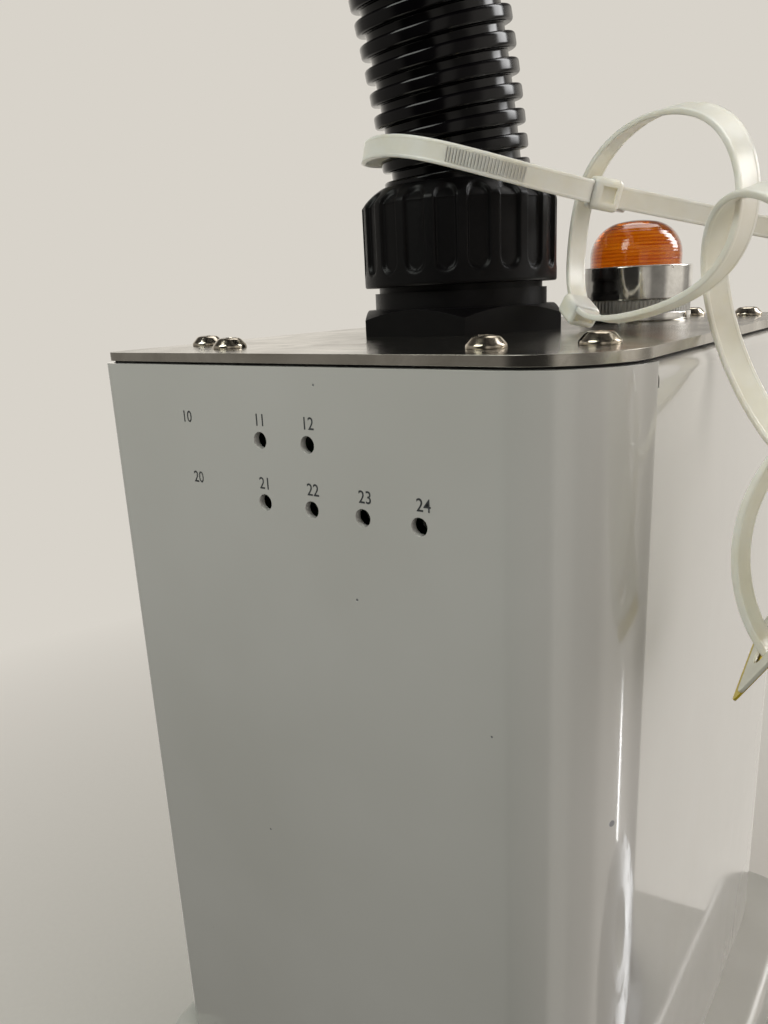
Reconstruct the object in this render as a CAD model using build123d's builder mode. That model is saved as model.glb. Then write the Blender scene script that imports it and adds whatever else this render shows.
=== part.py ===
# Base unit of a small SCARA robot: cast foot with its shoulder bearing, and the sheet metal tower behind it.
# The tower's stainless top plate carries the cable gland with its corrugated duct and the amber power lamp.
# Millimetres. Origin: centre of the foot's bolt pattern on the mounting face. +X is the arm side, +Z is up.
import os
from math import cos, pi, radians, sin, sqrt

from build123d import *

os.makedirs("parts", exist_ok=True)

# foot and casting
foot_thickness = 15.0
foot_corner = 24.0
foot_ear = 23.0
foot_rear_end = 1.0
foot_front_end = 3.0
foot_bolt_edge = 12.0
foot_bolt_end = 35.0
foot_bolt_hole = 11.0
foot_face_radius = 11.0
foot_face_depth = 0.8
ledge_height = 170.0
ledge_front = 13.0
ledge_side = 8.0
rim_height = 24.0
rim_overhang = 5.0
rim_edge = 3.0
plinth_height = 12.0
gusset_thickness = 9.0
gusset_reach = 20.0
gusset_height = 62.0
gusset_root = 1.0
gusset_first = 28.0
gusset_second = 90.0
foot_edge = 2.0

# shoulder bearing and its flange, where the first arm is bolted on
shoulder_reach = 150.0
nose_radius = 72.0
nose_drop = 20.0
nose_edge = 4.0
bearing_radius = 66.0
bearing_bore = 52.0
bearing_height = 8.0
bearing_bolts = 12
bearing_bolt_radius = 59.0
bearing_bolt_hole = 5.5
bearing_clearance = 2.0
seal_width = 1.9
seal_height = 7.0
flange_height = 16.0
flange_bore = 40.0
flange_pilot = 60.0
flange_pilot_height = 2.0
arm_bolts = 8
arm_bolt_circle = 80.0
arm_bolt_hole = 5.0
arm_bolt_depth = 12.0
running_gap = 0.3

# tower cover, bent from one sheet
tower_length = 132.0
tower_width = 162.0
cover_height = 208.0
sheet = 1.6
front_bend = 20.0
rear_bend = 5.0
lip_bend = 3.5
lip_width = 18.0
relief_width = 0.7
relief_depth = 4.6
return_width = 14.0
cover_fit = 0.4
cover_screw_x = 90.0
cover_screw_rise = 6.0

# indicator holes in the tower's side, with the board behind them
led_hole = 3.7
led_pitch = 13.5
led_front = 77.5
mode_row_drop = 29.4
status_row_drop = 15.7
mode_leds = 4
status_holes = 2
board_length = 60.0
board_height = 30.0
board_thickness = 1.6
board_gap = 6.0
board_margin = 8.0
standoff_diameter = 5.0
led_diameter = 3.0
led_length = 5.0
led_tip = 0.7

# top plate
plate_thickness = 2.0
plate_inset = 1.0
gasket_thickness = 0.5
gasket_inset = 2.0
gasket_width = 6.5
bracket_width = 30.0
bracket_leg = 8.0
bracket_clearance = 2.0
bracket_thickness = 2.0
bracket_rear_gap = 6.0
bracket_lip_gap = 4.0
side_screw_x = 70.0
side_screw_inset = 15.5
end_screw_inset = 12.5
end_screw_side = 25.0
screw_head = 8.0
screw_head_height = 3.1
screw_head_crown = 1.0
screw_head_slope = 2.0
screw_shank = 4.0
screw_length = 8.5
screw_clearance = 0.6
tapped_clearance = 0.1

# rear panel and what it carries
panel_thickness = 2.0
panel_margin = 6.0
panel_gap = 0.5
panel_corner = 3.0
panel_screw_inset = 4.0
panel_screw_end = 12.0
connector_rise = 46.0
power_y = 30.0
signal_y = -30.0
connector_flange = 34.0
connector_flange_thickness = 3.0
power_shell = 28.0
signal_shell = 24.0
connector_length = 16.0
connector_step = 2.0
cap_length = 12.0
cap_wall = 2.0
cap_grips = 16
cap_grip = 1.8
connector_hole_fit = 0.5
earth_inset = 5.0
earth_rise = 16.0
earth_stud_length = 11.0
earth_washer = 9.0
earth_washer_thickness = 1.0
earth_nut = 7.0
earth_nut_height = 3.2

# cable gland and corrugated duct
gland_front = 73.6
gland_y = -4.2
gland_turn = 3.0
gland_thread = 40.0
gland_bore = 32.0
gland_thread_length = 12.0
gland_hex = 50.7
gland_hex_height = 6.6
gland_corner = 1.0
gland_corner_drop = 2.9
gland_collar = 46.8
gland_collar_height = 4.3
gland_neck = 44.4
gland_neck_height = 1.5
locknut_hex = 50.0
locknut_height = 6.0
nut_diameter = 52.0
nut_height = 24.8
nut_shoulder = 20.7
nut_mouth = 40.0
nut_top = 41.8
nut_bore = 46.0
nut_lip = 4.0
nut_shoulder_arc = 20.0
nut_turn = 3.0
nut_flutes = 20
flute_width = 5.2
flute_depth = 1.0
flute_reach = 7.0
flute_start = 3.4
flute_end = 23.4
thread_clearance = 0.15
clamp_ring_height = 3.0
duct_diameter = 38.5
duct_groove = 34.0
duct_pitch = 5.56
duct_ridge = 3.6
duct_exposed = 60.0
duct_seat = 5.5
duct_first_ridge = 2.8
duct_spare = 1.5
duct_lean = 8.2
duct_bend = 334.0
duct_bend_turn = -103.3
end_seal_height = 9.0
end_seal_recess = 1.5

# amber lamp
lamp_front = 40.8
lamp_side = 40.4
lamp_base_diameter = 31.8
lamp_base_height = 2.4
lamp_ring_diameter = 31.4
lamp_ring_height = 3.6
lamp_bezel_diameter = 31.8
lamp_bezel_height = 9.2
lamp_bezel_bore = 26.3
lamp_lens_diameter = 25.7
lamp_lens_height = 12.4
lamp_lens_seat = 4.0
lamp_lens_ribs = 2
lamp_lens_rib = 1.5
lamp_lens_rib_depth = 0.3
lamp_lens_crown = 8.0
lamp_lens_crown_arc = 9.55
lamp_thread = 22.0
lamp_thread_length = 24.0
lamp_nut_hex = 27.0
lamp_nut_height = 5.0
lamp_fit = 0.3

# nylon ties left on the duct, placed from the tower's front and the cover's top edge
tie_width = 5.2
tie_thickness = 1.3
tie_head_length = 7.6
tie_head_width = 7.4
tie_head_height = 5.2
tie_head_edge = 1.0
ring_tie_x = -17.1
ring_tie_y = -19.5
ring_tie_z = 25.7
ring_long = 32.6
ring_short = 21.9
ring_head_turn = 239.0
duct_tie_x = -66.85
duct_tie_y = 1.5
duct_tie_z = 43.5
duct_tie_long = 37.4
duct_tie_short = 31.5
duct_tie_head_turn = -49.0
duct_tie_tail = 58.0
duct_tie_tail_arc = 260.0
front_tie_x = 17.8
front_tie_y = -45.9
front_tie_z = 2.5
front_tie_long = 27.4
front_tie_short = 22.0
front_tie_head_turn = 100.0
tag_tie_x = 36.3
tag_tie_y = -57.0
tag_tie_z = -30.5
tag_tie_long = 25.3
tag_tie_short = 21.6
tag_tie_head_turn = -100.0
tag_x = 17.8
tag_y = -67.8
tag_z = -55.1
tag_width = 21.5
tag_length = 60.0
tag_thickness = 0.6
tag_corner = 2.0
tag_hole = 8.0
tag_hole_across = 8.2
tag_hole_along = 6.5

# places and heights that follow from the sizes above
ledge_length = tower_length + ledge_front + ledge_side
ledge_width = tower_width + 2 * ledge_side
body_length = ledge_side + tower_length / 2 + shoulder_reach + nose_radius
foot_length = foot_rear_end + body_length + foot_front_end
foot_width = ledge_width + 2 * foot_ear
foot_bolt_x = foot_length - 2 * foot_bolt_end
foot_bolt_y = foot_width - 2 * foot_bolt_edge
tower_x = foot_rear_end + ledge_side + tower_length / 2 - foot_length / 2
shoulder_x = tower_x + shoulder_reach
ledge_x = tower_x + (ledge_front - ledge_side) / 2
nose_height = ledge_height - nose_drop
cover_top = ledge_height + cover_height
plate_under = cover_top + gasket_thickness
plate_top = plate_under + plate_thickness
tower_front = tower_x + tower_length / 2
tower_rear = tower_x - tower_length / 2
side = tower_width / 2
rear_face = tower_rear - panel_thickness
end_screw_y = tower_width - 2 * end_screw_side
bracket_length = tower_length - bracket_rear_gap - lip_width - bracket_lip_gap
bracket_start = tower_rear + bracket_rear_gap
gland_x = tower_front - gland_front
lamp_x = tower_front - lamp_front
lamp_y = side - lamp_side
earth_y = side - return_width - earth_inset
nut_base = gland_hex_height + gland_collar_height + gland_neck_height
nut_face = nut_base + nut_height
body_top = nut_face - duct_seat - clamp_ring_height
duct_seat_height = plate_top + nut_face - duct_seat
shoulder_face = nose_height + flange_height
foot_holes = GridLocations(foot_bolt_x, foot_bolt_y, 2, 2)


def tower_plan(inset):
    # tower outline, drawn in by an inset, with its wide front bends and tight rear bends
    with BuildSketch() as plan:
        with Locations((tower_x, 0)):
            Rectangle(tower_length - 2 * inset, tower_width - 2 * inset)
        fillet(plan.vertices().sort_by(Axis.X)[-2:], max(front_bend - inset, sheet))
        fillet(plan.vertices().sort_by(Axis.X)[:2], max(rear_bend - inset, sheet))
    return plan.sketch


with BuildPart() as base_casting:
    # foot with machined faces round its four bolt holes
    with BuildSketch():
        RectangleRounded(foot_length, foot_width, foot_corner)
    extrude(amount=foot_thickness)
    fillet(base_casting.edges().group_by(Axis.Z)[-1], foot_edge)
    # body: the block under the tower and the round shoulder in one skin
    with BuildSketch(Plane.XY.offset(foot_thickness)):
        with Locations((ledge_x, 0)):
            Rectangle(ledge_length - 2 * rim_overhang, ledge_width - 2 * rim_overhang)
        with Locations((shoulder_x, 0)):
            Circle(nose_radius)
        make_hull()
    extrude(amount=nose_height - foot_thickness)
    fillet(base_casting.faces().sort_by(Axis.Z)[-1].edges(), nose_edge)
    # the block under the tower goes on up to the ledge
    with BuildSketch(Plane.XY.offset(foot_thickness)):
        with Locations((ledge_x, 0)):
            Rectangle(ledge_length - 2 * rim_overhang, ledge_width - 2 * rim_overhang)
    extrude(amount=ledge_height - rim_edge - foot_thickness)
    # ledge that the tower stands on, proud of the body all round
    with BuildSketch(Plane.XY.offset(ledge_height - rim_height)):
        with Locations((ledge_x, 0)):
            RectangleRounded(ledge_length, ledge_width, rear_bend + ledge_side)
    extrude(amount=rim_height)
    fillet(base_casting.faces().sort_by(Axis.Z)[-1].edges(), rim_edge)
    # room for the bearing, should the shoulder stand close to the ledge
    with BuildSketch(Plane.XY.offset(nose_height)):
        with Locations((shoulder_x, 0)):
            Circle(bearing_radius + bearing_clearance)
    extrude(amount=ledge_height - nose_height, mode=Mode.SUBTRACT)
    # plinth inside the cover's foot
    with BuildSketch(Plane.XY.offset(ledge_height)):
        add(tower_plan(sheet + cover_fit))
    extrude(amount=plinth_height)
    # gussets between the foot and the body, beside each bolt hole
    gusset_foot = ledge_width / 2 - rim_overhang
    for hand in (1, -1):
        for gusset_x in (gusset_first - foot_bolt_x / 2, gusset_second - foot_bolt_x / 2):
            with BuildSketch(Plane.YZ.offset(gusset_x - gusset_thickness / 2)):
                with BuildLine():
                    Polyline(
                        (hand * (gusset_foot - gusset_root), foot_thickness),
                        (hand * (gusset_foot + gusset_reach), foot_thickness),
                        (hand * (gusset_foot - gusset_root), foot_thickness + gusset_height),
                        close=True,
                    )
                make_face()
            extrude(amount=gusset_thickness)
    # bolt holes with their spot faces
    with BuildSketch(Plane.XY.offset(foot_thickness)):
        with foot_holes:
            Circle(foot_face_radius)
    extrude(amount=-foot_face_depth, mode=Mode.SUBTRACT)
    with BuildSketch():
        with foot_holes:
            Circle(foot_bolt_hole / 2)
    extrude(amount=foot_thickness, mode=Mode.SUBTRACT)
    # tapped holes for the cover's screws
    with BuildSketch(Plane.XZ.offset(side + screw_clearance)):
        with Locations((tower_x, ledge_height + cover_screw_rise)):
            with GridLocations(cover_screw_x, 1, 2, 1):
                Circle(screw_shank / 2 + tapped_clearance)
    extrude(amount=-(2 * side + 2 * screw_clearance), mode=Mode.SUBTRACT)
base_casting.part.label = "base_casting"
export_step(base_casting.part, "parts/base_casting.step")


# shoulder bearing, stacked on the machined face of the nose
with BuildPart() as shoulder_bearing_ring:
    with BuildSketch(Plane.XY.offset(nose_height)):
        with Locations((shoulder_x, 0)):
            Circle(bearing_radius)
            Circle(bearing_bore, mode=Mode.SUBTRACT)
            with PolarLocations(bearing_bolt_radius, bearing_bolts):
                Circle(bearing_bolt_hole / 2, mode=Mode.SUBTRACT)
    extrude(amount=bearing_height)
    chamfer(shoulder_bearing_ring.edges().group_by(Axis.Z)[-1].sort_by(SortBy.LENGTH)[-1], 1.0)
shoulder_bearing_ring.part.label = "shoulder_bearing_ring"
export_step(shoulder_bearing_ring.part, "parts/shoulder_bearing_ring.step")

flange_radius = bearing_bore - seal_width - 2 * running_gap
with BuildPart() as shoulder_seal:
    with BuildSketch(Plane.XY.offset(nose_height)):
        with Locations((shoulder_x, 0)):
            Circle(bearing_bore - running_gap)
            Circle(flange_radius + running_gap, mode=Mode.SUBTRACT)
    extrude(amount=seal_height)
shoulder_seal.part.label = "shoulder_seal"
export_step(shoulder_seal.part, "parts/shoulder_seal.step")

with BuildPart() as shoulder_flange:
    with BuildSketch(Plane.XY.offset(nose_height)):
        with Locations((shoulder_x, 0)):
            Circle(flange_radius)
    extrude(amount=flange_height)
    chamfer(shoulder_flange.edges().group_by(Axis.Z)[-1], 1.0)
    # raised pilot that centres the arm, with the hollow shaft's bore through it
    with BuildSketch(Plane.XY.offset(shoulder_face)):
        with Locations((shoulder_x, 0)):
            Circle(flange_pilot / 2)
    extrude(amount=flange_pilot_height)
    with BuildSketch(Plane.XY.offset(nose_height)):
        with Locations((shoulder_x, 0)):
            Circle(flange_bore / 2)
    extrude(amount=flange_height + flange_pilot_height, mode=Mode.SUBTRACT)
    with BuildSketch(Plane.XY.offset(shoulder_face)):
        with Locations((shoulder_x, 0)):
            with PolarLocations(arm_bolt_circle / 2, arm_bolts):
                Circle(arm_bolt_hole / 2)
    extrude(amount=-arm_bolt_depth, mode=Mode.SUBTRACT)
shoulder_flange.part.label = "shoulder_flange"
export_step(shoulder_flange.part, "parts/shoulder_flange.step")

# places on the rear panel, which closes the cover's open back
panel_width = tower_width - 2 * panel_margin
panel_height = cover_height - 2 * panel_gap
panel_middle = ledge_height + cover_height / 2
connector_height = ledge_height + connector_rise
earth_height = ledge_height + earth_rise
panel_plane = Plane(origin=(rear_face, 0, 0), x_dir=(0, -1, 0), z_dir=(-1, 0, 0))
panel_screw_y = side - return_width + panel_screw_inset
panel_screw_rise = panel_height / 2 - panel_screw_end
panel_screw_places = [
    (across * panel_screw_y, panel_middle + up * panel_screw_rise)
    for across in (1, -1)
    for up in (1, 0, -1)
]
# tower cover: front, both sides and two rear returns in one bent sheet
led_x = [tower_front - led_front + led_pitch * column for column in range(mode_leds)]
led_places = [(x, cover_top - mode_row_drop) for x in led_x]
led_places += [(x, cover_top - status_row_drop) for x in led_x[:status_holes]]
lip_length = tower_width - 2 * front_bend
with BuildPart() as tower_cover:
    with BuildSketch(Plane.XY.offset(ledge_height)):
        add(tower_plan(0))
        add(tower_plan(sheet), mode=Mode.SUBTRACT)
    extrude(amount=cover_height)
    # opening behind, which the rear panel closes
    with BuildSketch(Plane.YZ.offset(tower_rear - 1)):
        with Locations((0, ledge_height + cover_height / 2)):
            Rectangle(tower_width - 2 * return_width, cover_height)
    extrude(amount=sheet + 2, mode=Mode.SUBTRACT)
    # the front sheet is slit at both corners, so that its top can be folded inward
    with BuildSketch(Plane.YZ.offset(tower_front - sheet - 1)):
        with Locations((0, cover_top - relief_depth / 2)):
            Rectangle(lip_length, relief_depth)
    extrude(amount=sheet + 2, mode=Mode.SUBTRACT)
    with BuildSketch(Plane.XZ.offset(-(lip_length / 2 - relief_width))):
        with BuildLine():
            outer_start = (tower_front, cover_top - relief_depth)
            outer_bend = (tower_front, cover_top - lip_bend)
            outer_end = (tower_front - lip_bend, cover_top)
            lip_end = (tower_front - lip_width, cover_top)
            lip_under = (tower_front - lip_width, cover_top - sheet)
            inner_end = (tower_front - lip_bend, cover_top - sheet)
            inner_bend = (tower_front - sheet, cover_top - lip_bend)
            inner_start = (tower_front - sheet, cover_top - relief_depth)
            Line(outer_start, outer_bend)
            RadiusArc(outer_bend, outer_end, -lip_bend)
            Polyline(outer_end, lip_end, lip_under, inner_end)
            RadiusArc(inner_end, inner_bend, lip_bend - sheet)
            Polyline(inner_bend, inner_start, outer_start)
        make_face()
    extrude(amount=lip_length - 2 * relief_width)
    # holes over the indicators
    with BuildSketch(Plane.XZ.offset(side)):
        with Locations(*led_places):
            Circle(led_hole / 2)
    extrude(amount=-sheet, mode=Mode.SUBTRACT)
    # holes for the plate's end screws in the lip
    with BuildSketch(Plane.XY.offset(cover_top)):
        with Locations((tower_front - end_screw_inset, 0)):
            with GridLocations(1, end_screw_y, 1, 2):
                Circle(screw_shank / 2 + tapped_clearance)
    extrude(amount=-sheet, mode=Mode.SUBTRACT)
    # holes for the rear panel's screws in the returns
    with BuildSketch(panel_plane):
        with Locations(*panel_screw_places):
            Circle(screw_shank / 2 + tapped_clearance)
    extrude(amount=-(panel_thickness + sheet), mode=Mode.SUBTRACT)
    # holes for the screws into the plinth
    with BuildSketch(Plane.XZ.offset(side)):
        with Locations((tower_x, ledge_height + cover_screw_rise)):
            with GridLocations(cover_screw_x, 1, 2, 1):
                Circle(screw_shank / 2 + screw_clearance / 2)
    extrude(amount=-tower_width, mode=Mode.SUBTRACT)
tower_cover.part.label = "tower_cover"
export_step(tower_cover.part, "parts/tower_cover.step")


def pan_screws(plane, places, length):
    # pan head screws standing on a plane, whose shanks run down from it
    outward = Axis(plane.origin, plane.z_dir)
    with BuildPart() as screws:
        with BuildSketch(plane):
            with Locations(*places):
                Circle(screw_head / 2)
        extrude(amount=screw_head_height)
        chamfer(screws.edges().group_by(outward)[-1], screw_head_crown, screw_head_crown * screw_head_slope)
        with BuildSketch(plane):
            with Locations(*places):
                Circle(screw_shank / 2)
        extrude(amount=-length)
    return screws.part


# screws through the cover's sides into the plinth
near_side = Plane.XZ.offset(side)
far_side = Plane(origin=(0, side, 0), x_dir=(1, 0, 0), z_dir=(0, 1, 0))
cover_screw_places = [
    (tower_x + hand * cover_screw_x / 2, ledge_height + cover_screw_rise)
    for hand in (1, -1)
]
with BuildPart() as cover_screws:
    add(pan_screws(near_side, cover_screw_places, screw_length))
    add(pan_screws(far_side, [(x, -z) for x, z in cover_screw_places], screw_length))
cover_screws.part.label = "cover_screws"
export_step(cover_screws.part, "parts/cover_screws.step")

# angle strips welded inside the cover, level with its top edge
with BuildPart() as plate_brackets:
    with BuildSketch(Plane.YZ.offset(bracket_start)):
        for hand in (1, -1):
            with BuildLine():
                wall = hand * (side - sheet)
                Polyline(
                    (wall, cover_top),
                    (wall, cover_top - bracket_leg),
                    (wall - hand * bracket_thickness, cover_top - bracket_leg),
                    (wall - hand * bracket_thickness, cover_top - bracket_thickness),
                    (wall - hand * bracket_width, cover_top - bracket_thickness),
                    (wall - hand * bracket_width, cover_top),
                    close=True,
                )
            make_face()
    extrude(amount=bracket_length)
    # scalloped round the nuts under the plate
    with BuildSketch(Plane.XY.offset(cover_top)):
        with Locations((gland_x, gland_y)):
            Circle(locknut_hex / sqrt(3) + bracket_clearance)
        with Locations((lamp_x, lamp_y)):
            Circle(lamp_nut_hex / sqrt(3) + bracket_clearance)
    extrude(amount=-bracket_leg, mode=Mode.SUBTRACT)
    with BuildSketch(Plane.XY.offset(cover_top)):
        with Locations((tower_x, 0)):
            with GridLocations(side_screw_x, tower_width - 2 * side_screw_inset, 2, 2):
                Circle(screw_shank / 2 + tapped_clearance)
        with Locations((tower_rear + end_screw_inset, 0)):
            with GridLocations(1, end_screw_y, 1, 2):
                Circle(screw_shank / 2 + tapped_clearance)
    extrude(amount=-bracket_thickness, mode=Mode.SUBTRACT)
plate_brackets.part.label = "plate_brackets"
export_step(plate_brackets.part, "parts/plate_brackets.step")

# foam gasket and the stainless plate on it
with BuildPart() as plate_gasket:
    with BuildSketch(Plane.XY.offset(cover_top)):
        add(tower_plan(gasket_inset))
        add(tower_plan(gasket_inset + gasket_width), mode=Mode.SUBTRACT)
    extrude(amount=gasket_thickness)
plate_gasket.part.label = "plate_gasket"
export_step(plate_gasket.part, "parts/plate_gasket.step")

plate_screw_places = [
    (tower_x + along * side_screw_x / 2, across * (side - side_screw_inset))
    for along in (1, -1)
    for across in (1, -1)
]
plate_screw_places += [
    (tower_x + along * (tower_length / 2 - end_screw_inset), across * end_screw_y / 2)
    for along in (1, -1)
    for across in (1, -1)
]
with BuildPart() as top_plate:
    with BuildSketch(Plane.XY.offset(plate_under)):
        add(tower_plan(plate_inset))
        with Locations(*plate_screw_places):
            Circle((screw_shank + screw_clearance) / 2, mode=Mode.SUBTRACT)
        with Locations((gland_x, gland_y)):
            Circle((gland_thread + screw_clearance) / 2, mode=Mode.SUBTRACT)
        with Locations((lamp_x, lamp_y)):
            Circle((lamp_thread + screw_clearance) / 2, mode=Mode.SUBTRACT)
    extrude(amount=plate_thickness)
top_plate.part.label = "top_plate"
export_step(top_plate.part, "parts/top_plate.step")

with BuildPart() as top_plate_screws:
    add(pan_screws(Plane.XY.offset(plate_top), plate_screw_places, screw_length))
top_plate_screws.part.label = "top_plate_screws"
export_step(top_plate_screws.part, "parts/top_plate_screws.step")

# rear panel over the cover's open back
with BuildPart() as rear_panel:
    with BuildSketch(panel_plane):
        with Locations((0, panel_middle)):
            RectangleRounded(panel_width, panel_height, panel_corner)
        with Locations(*panel_screw_places):
            Circle((screw_shank + screw_clearance) / 2, mode=Mode.SUBTRACT)
        with Locations((-power_y, connector_height)):
            Circle((power_shell + connector_hole_fit) / 2, mode=Mode.SUBTRACT)
        with Locations((-signal_y, connector_height)):
            Circle((signal_shell + connector_hole_fit) / 2, mode=Mode.SUBTRACT)
        with Locations((-earth_y, earth_height)):
            Circle((screw_shank + screw_clearance) / 2, mode=Mode.SUBTRACT)
    extrude(amount=-panel_thickness)
rear_panel.part.label = "rear_panel"
export_step(rear_panel.part, "parts/rear_panel.step")

with BuildPart() as rear_panel_screws:
    add(pan_screws(panel_plane, panel_screw_places, panel_thickness + sheet))
rear_panel_screws.part.label = "rear_panel_screws"
export_step(rear_panel_screws.part, "parts/rear_panel_screws.step")


def capped_connector(across, shell):
    # square flange, round shell and a gripped dust cap, set through the rear panel
    with BuildPart() as connector:
        with BuildSketch(panel_plane):
            with Locations((across, connector_height)):
                RectangleRounded(connector_flange, connector_flange, panel_corner)
        extrude(amount=connector_flange_thickness)
        with BuildSketch(panel_plane.offset(-connector_length)):
            with Locations((across, connector_height)):
                Circle(shell / 2)
        extrude(amount=connector_length + connector_flange_thickness + connector_step)
        with BuildSketch(panel_plane.offset(connector_flange_thickness + connector_step)):
            with Locations((across, connector_height)):
                Circle(shell / 2 + cap_wall)
                with PolarLocations(shell / 2 + cap_wall, cap_grips):
                    Circle(cap_grip / 2, mode=Mode.SUBTRACT)
        extrude(amount=cap_length)
    return connector.part


with BuildPart() as power_connector:
    add(capped_connector(-power_y, power_shell))
power_connector.part.label = "power_connector"
export_step(power_connector.part, "parts/power_connector.step")

with BuildPart() as signal_connector:
    add(capped_connector(-signal_y, signal_shell))
signal_connector.part.label = "signal_connector"
export_step(signal_connector.part, "parts/signal_connector.step")

# earth stud with its washer and nut
with BuildPart() as earth_stud:
    with BuildSketch(panel_plane.offset(-panel_thickness - sheet)):
        with Locations((-earth_y, earth_height)):
            Circle(screw_shank / 2)
    extrude(amount=panel_thickness + sheet + earth_stud_length)
    with BuildSketch(panel_plane):
        with Locations((-earth_y, earth_height)):
            Circle(earth_washer / 2)
    extrude(amount=earth_washer_thickness)
    with BuildSketch(panel_plane.offset(earth_washer_thickness)):
        with Locations((-earth_y, earth_height)):
            RegularPolygon(earth_nut / 2, 6, major_radius=False)
    extrude(amount=earth_nut_height)
earth_stud.part.label = "earth_stud"
export_step(earth_stud.part, "parts/earth_stud.step")

# board with the status indicators, on four standoffs behind the holes
inner_side = side - sheet
board_x = led_x[0] + (mode_leds - 1) * led_pitch / 2
board_z = cover_top - (mode_row_drop + status_row_drop) / 2
inner_plane = Plane.XZ.offset(inner_side)
board_plane = inner_plane.offset(-board_gap)
with BuildPart() as board_standoffs:
    with BuildSketch(inner_plane):
        with Locations((board_x, board_z)):
            with GridLocations(board_length - board_margin, board_height - board_margin, 2, 2):
                Circle(standoff_diameter / 2)
    extrude(amount=-board_gap)
board_standoffs.part.label = "board_standoffs"
export_step(board_standoffs.part, "parts/board_standoffs.step")

with BuildPart() as indicator_board:
    with BuildSketch(board_plane):
        with Locations((board_x, board_z)):
            Rectangle(board_length, board_height)
    extrude(amount=-board_thickness)
indicator_board.part.label = "indicator_board"
export_step(indicator_board.part, "parts/indicator_board.step")

with BuildPart() as status_leds:
    with BuildSketch(board_plane):
        with Locations(*led_places):
            Circle(led_diameter / 2)
    extrude(amount=led_length)
    chamfer(status_leds.edges().group_by(Axis.Y)[0], led_tip)
status_leds.part.label = "status_leds"
export_step(status_leds.part, "parts/status_leds.step")

# cable gland: body through the plate, locknut under it, clamp ring and fluted dome nut above
gland_way = (cos(radians(gland_turn)), sin(radians(gland_turn)), 0)
gland_plane = Plane(origin=(gland_x, gland_y, plate_top), x_dir=gland_way, z_dir=(0, 0, 1))


def half_plane(plane):
    # plane through the axis of a turned piece: local x is the radius, local y runs along the axis
    return Plane(origin=plane.origin, x_dir=plane.x_dir, z_dir=-plane.y_dir)


def gland_body_shape(plane):
    # hexagon with turned corners, collar, neck, and a threaded tube at both ends
    turning = half_plane(plane)
    axis = Axis(plane.origin, plane.z_dir)
    crown = gland_hex / sqrt(3)
    with BuildPart() as body:
        with BuildSketch(plane):
            RegularPolygon(gland_hex / 2, 6, major_radius=False)
        extrude(amount=gland_hex_height)
        with BuildSketch(turning):
            with BuildLine():
                Polyline(
                    (0, 0),
                    (crown + gland_corner, 0),
                    (crown + gland_corner, gland_hex_height - gland_corner_drop),
                    (gland_hex / 2, gland_hex_height),
                    (0, gland_hex_height),
                    close=True,
                )
            make_face()
        revolve(axis=axis, mode=Mode.INTERSECT)
        with BuildSketch(turning):
            with BuildLine():
                Polyline(
                    (gland_bore / 2, -gland_thread_length),
                    (gland_thread / 2, -gland_thread_length),
                    (gland_thread / 2, 0),
                    (gland_thread / 2, gland_hex_height),
                    (gland_collar / 2, gland_hex_height),
                    (gland_collar / 2, nut_base - gland_neck_height),
                    (gland_neck / 2, nut_base - gland_neck_height),
                    (gland_neck / 2, nut_base),
                    (nut_bore / 2 - thread_clearance, nut_base),
                    (nut_bore / 2 - thread_clearance, body_top),
                    (gland_bore / 2, body_top),
                    close=True,
                )
            make_face()
        revolve(axis=axis)
        with BuildSketch(plane):
            Circle(gland_bore / 2)
        extrude(amount=gland_hex_height, mode=Mode.SUBTRACT)
    return body.part


def dome_nut_shape(plane):
    # turned nut with a sloping shoulder and an open mouth
    # its round ended flutes follow the outline, a little below it
    turning = half_plane(plane)
    base = nut_base
    top = nut_base + nut_height
    slope = Vector(nut_diameter / 2 - nut_top / 2, nut_height - nut_shoulder).normalized()
    with BuildPart() as nut:
        with BuildSketch(turning):
            with BuildLine():
                shoulder = (nut_diameter / 2, base + nut_shoulder)
                crown = (nut_top / 2, top)
                Polyline(
                    crown,
                    (nut_mouth / 2, top),
                    (nut_mouth / 2, top - nut_lip),
                    (nut_bore / 2, top - nut_lip),
                    (nut_bore / 2, base),
                    (nut_diameter / 2, base),
                    shoulder,
                )
                RadiusArc(shoulder, crown, -nut_shoulder_arc)
            make_face()
        revolve(axis=Axis(plane.origin, plane.z_dir))
        flute_length = flute_end - flute_start
        for flute in range(nut_flutes):
            turn = nut_turn + 360 * flute / nut_flutes
            outward = plane.rotated((0, 0, turn))
            face = Plane(
                origin=outward.origin + outward.x_dir * (nut_diameter / 2 - flute_reach)
                + outward.z_dir * (base + flute_start + flute_length / 2),
                x_dir=outward.z_dir,
                z_dir=outward.x_dir,
            )
            with BuildSketch(face):
                SlotOverall(flute_length, flute_width)
            extrude(amount=flute_reach + flute_depth, mode=Mode.SUBTRACT)
        # floor of the flutes, the same outline drawn in by their depth
        with BuildSketch(turning):
            with BuildLine():
                Polyline(
                    (nut_mouth / 2, top - flute_depth * slope.X),
                    (nut_mouth / 2, top - nut_lip),
                    (nut_bore / 2, top - nut_lip),
                    (nut_bore / 2, base),
                    (nut_diameter / 2 - flute_depth, base),
                    (nut_diameter / 2 - flute_depth, base + nut_shoulder - flute_depth / 2),
                    (nut_top / 2 - flute_depth * slope.Y, top - flute_depth * slope.X),
                    close=True,
                )
            make_face()
        revolve(axis=Axis(plane.origin, plane.z_dir))
    return nut.part


def clamp_ring_shape(plane):
    # rubber ring between the threaded tube and the end of the duct
    with BuildPart() as ring:
        with BuildSketch(plane.offset(body_top)):
            Circle(nut_bore / 2 - running_gap)
            Circle(gland_bore / 2, mode=Mode.SUBTRACT)
        extrude(amount=clamp_ring_height)
    return ring.part


with BuildPart() as gland_body:
    add(gland_body_shape(gland_plane))
gland_body.part.label = "gland_body"
export_step(gland_body.part, "parts/gland_body.step")

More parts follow.
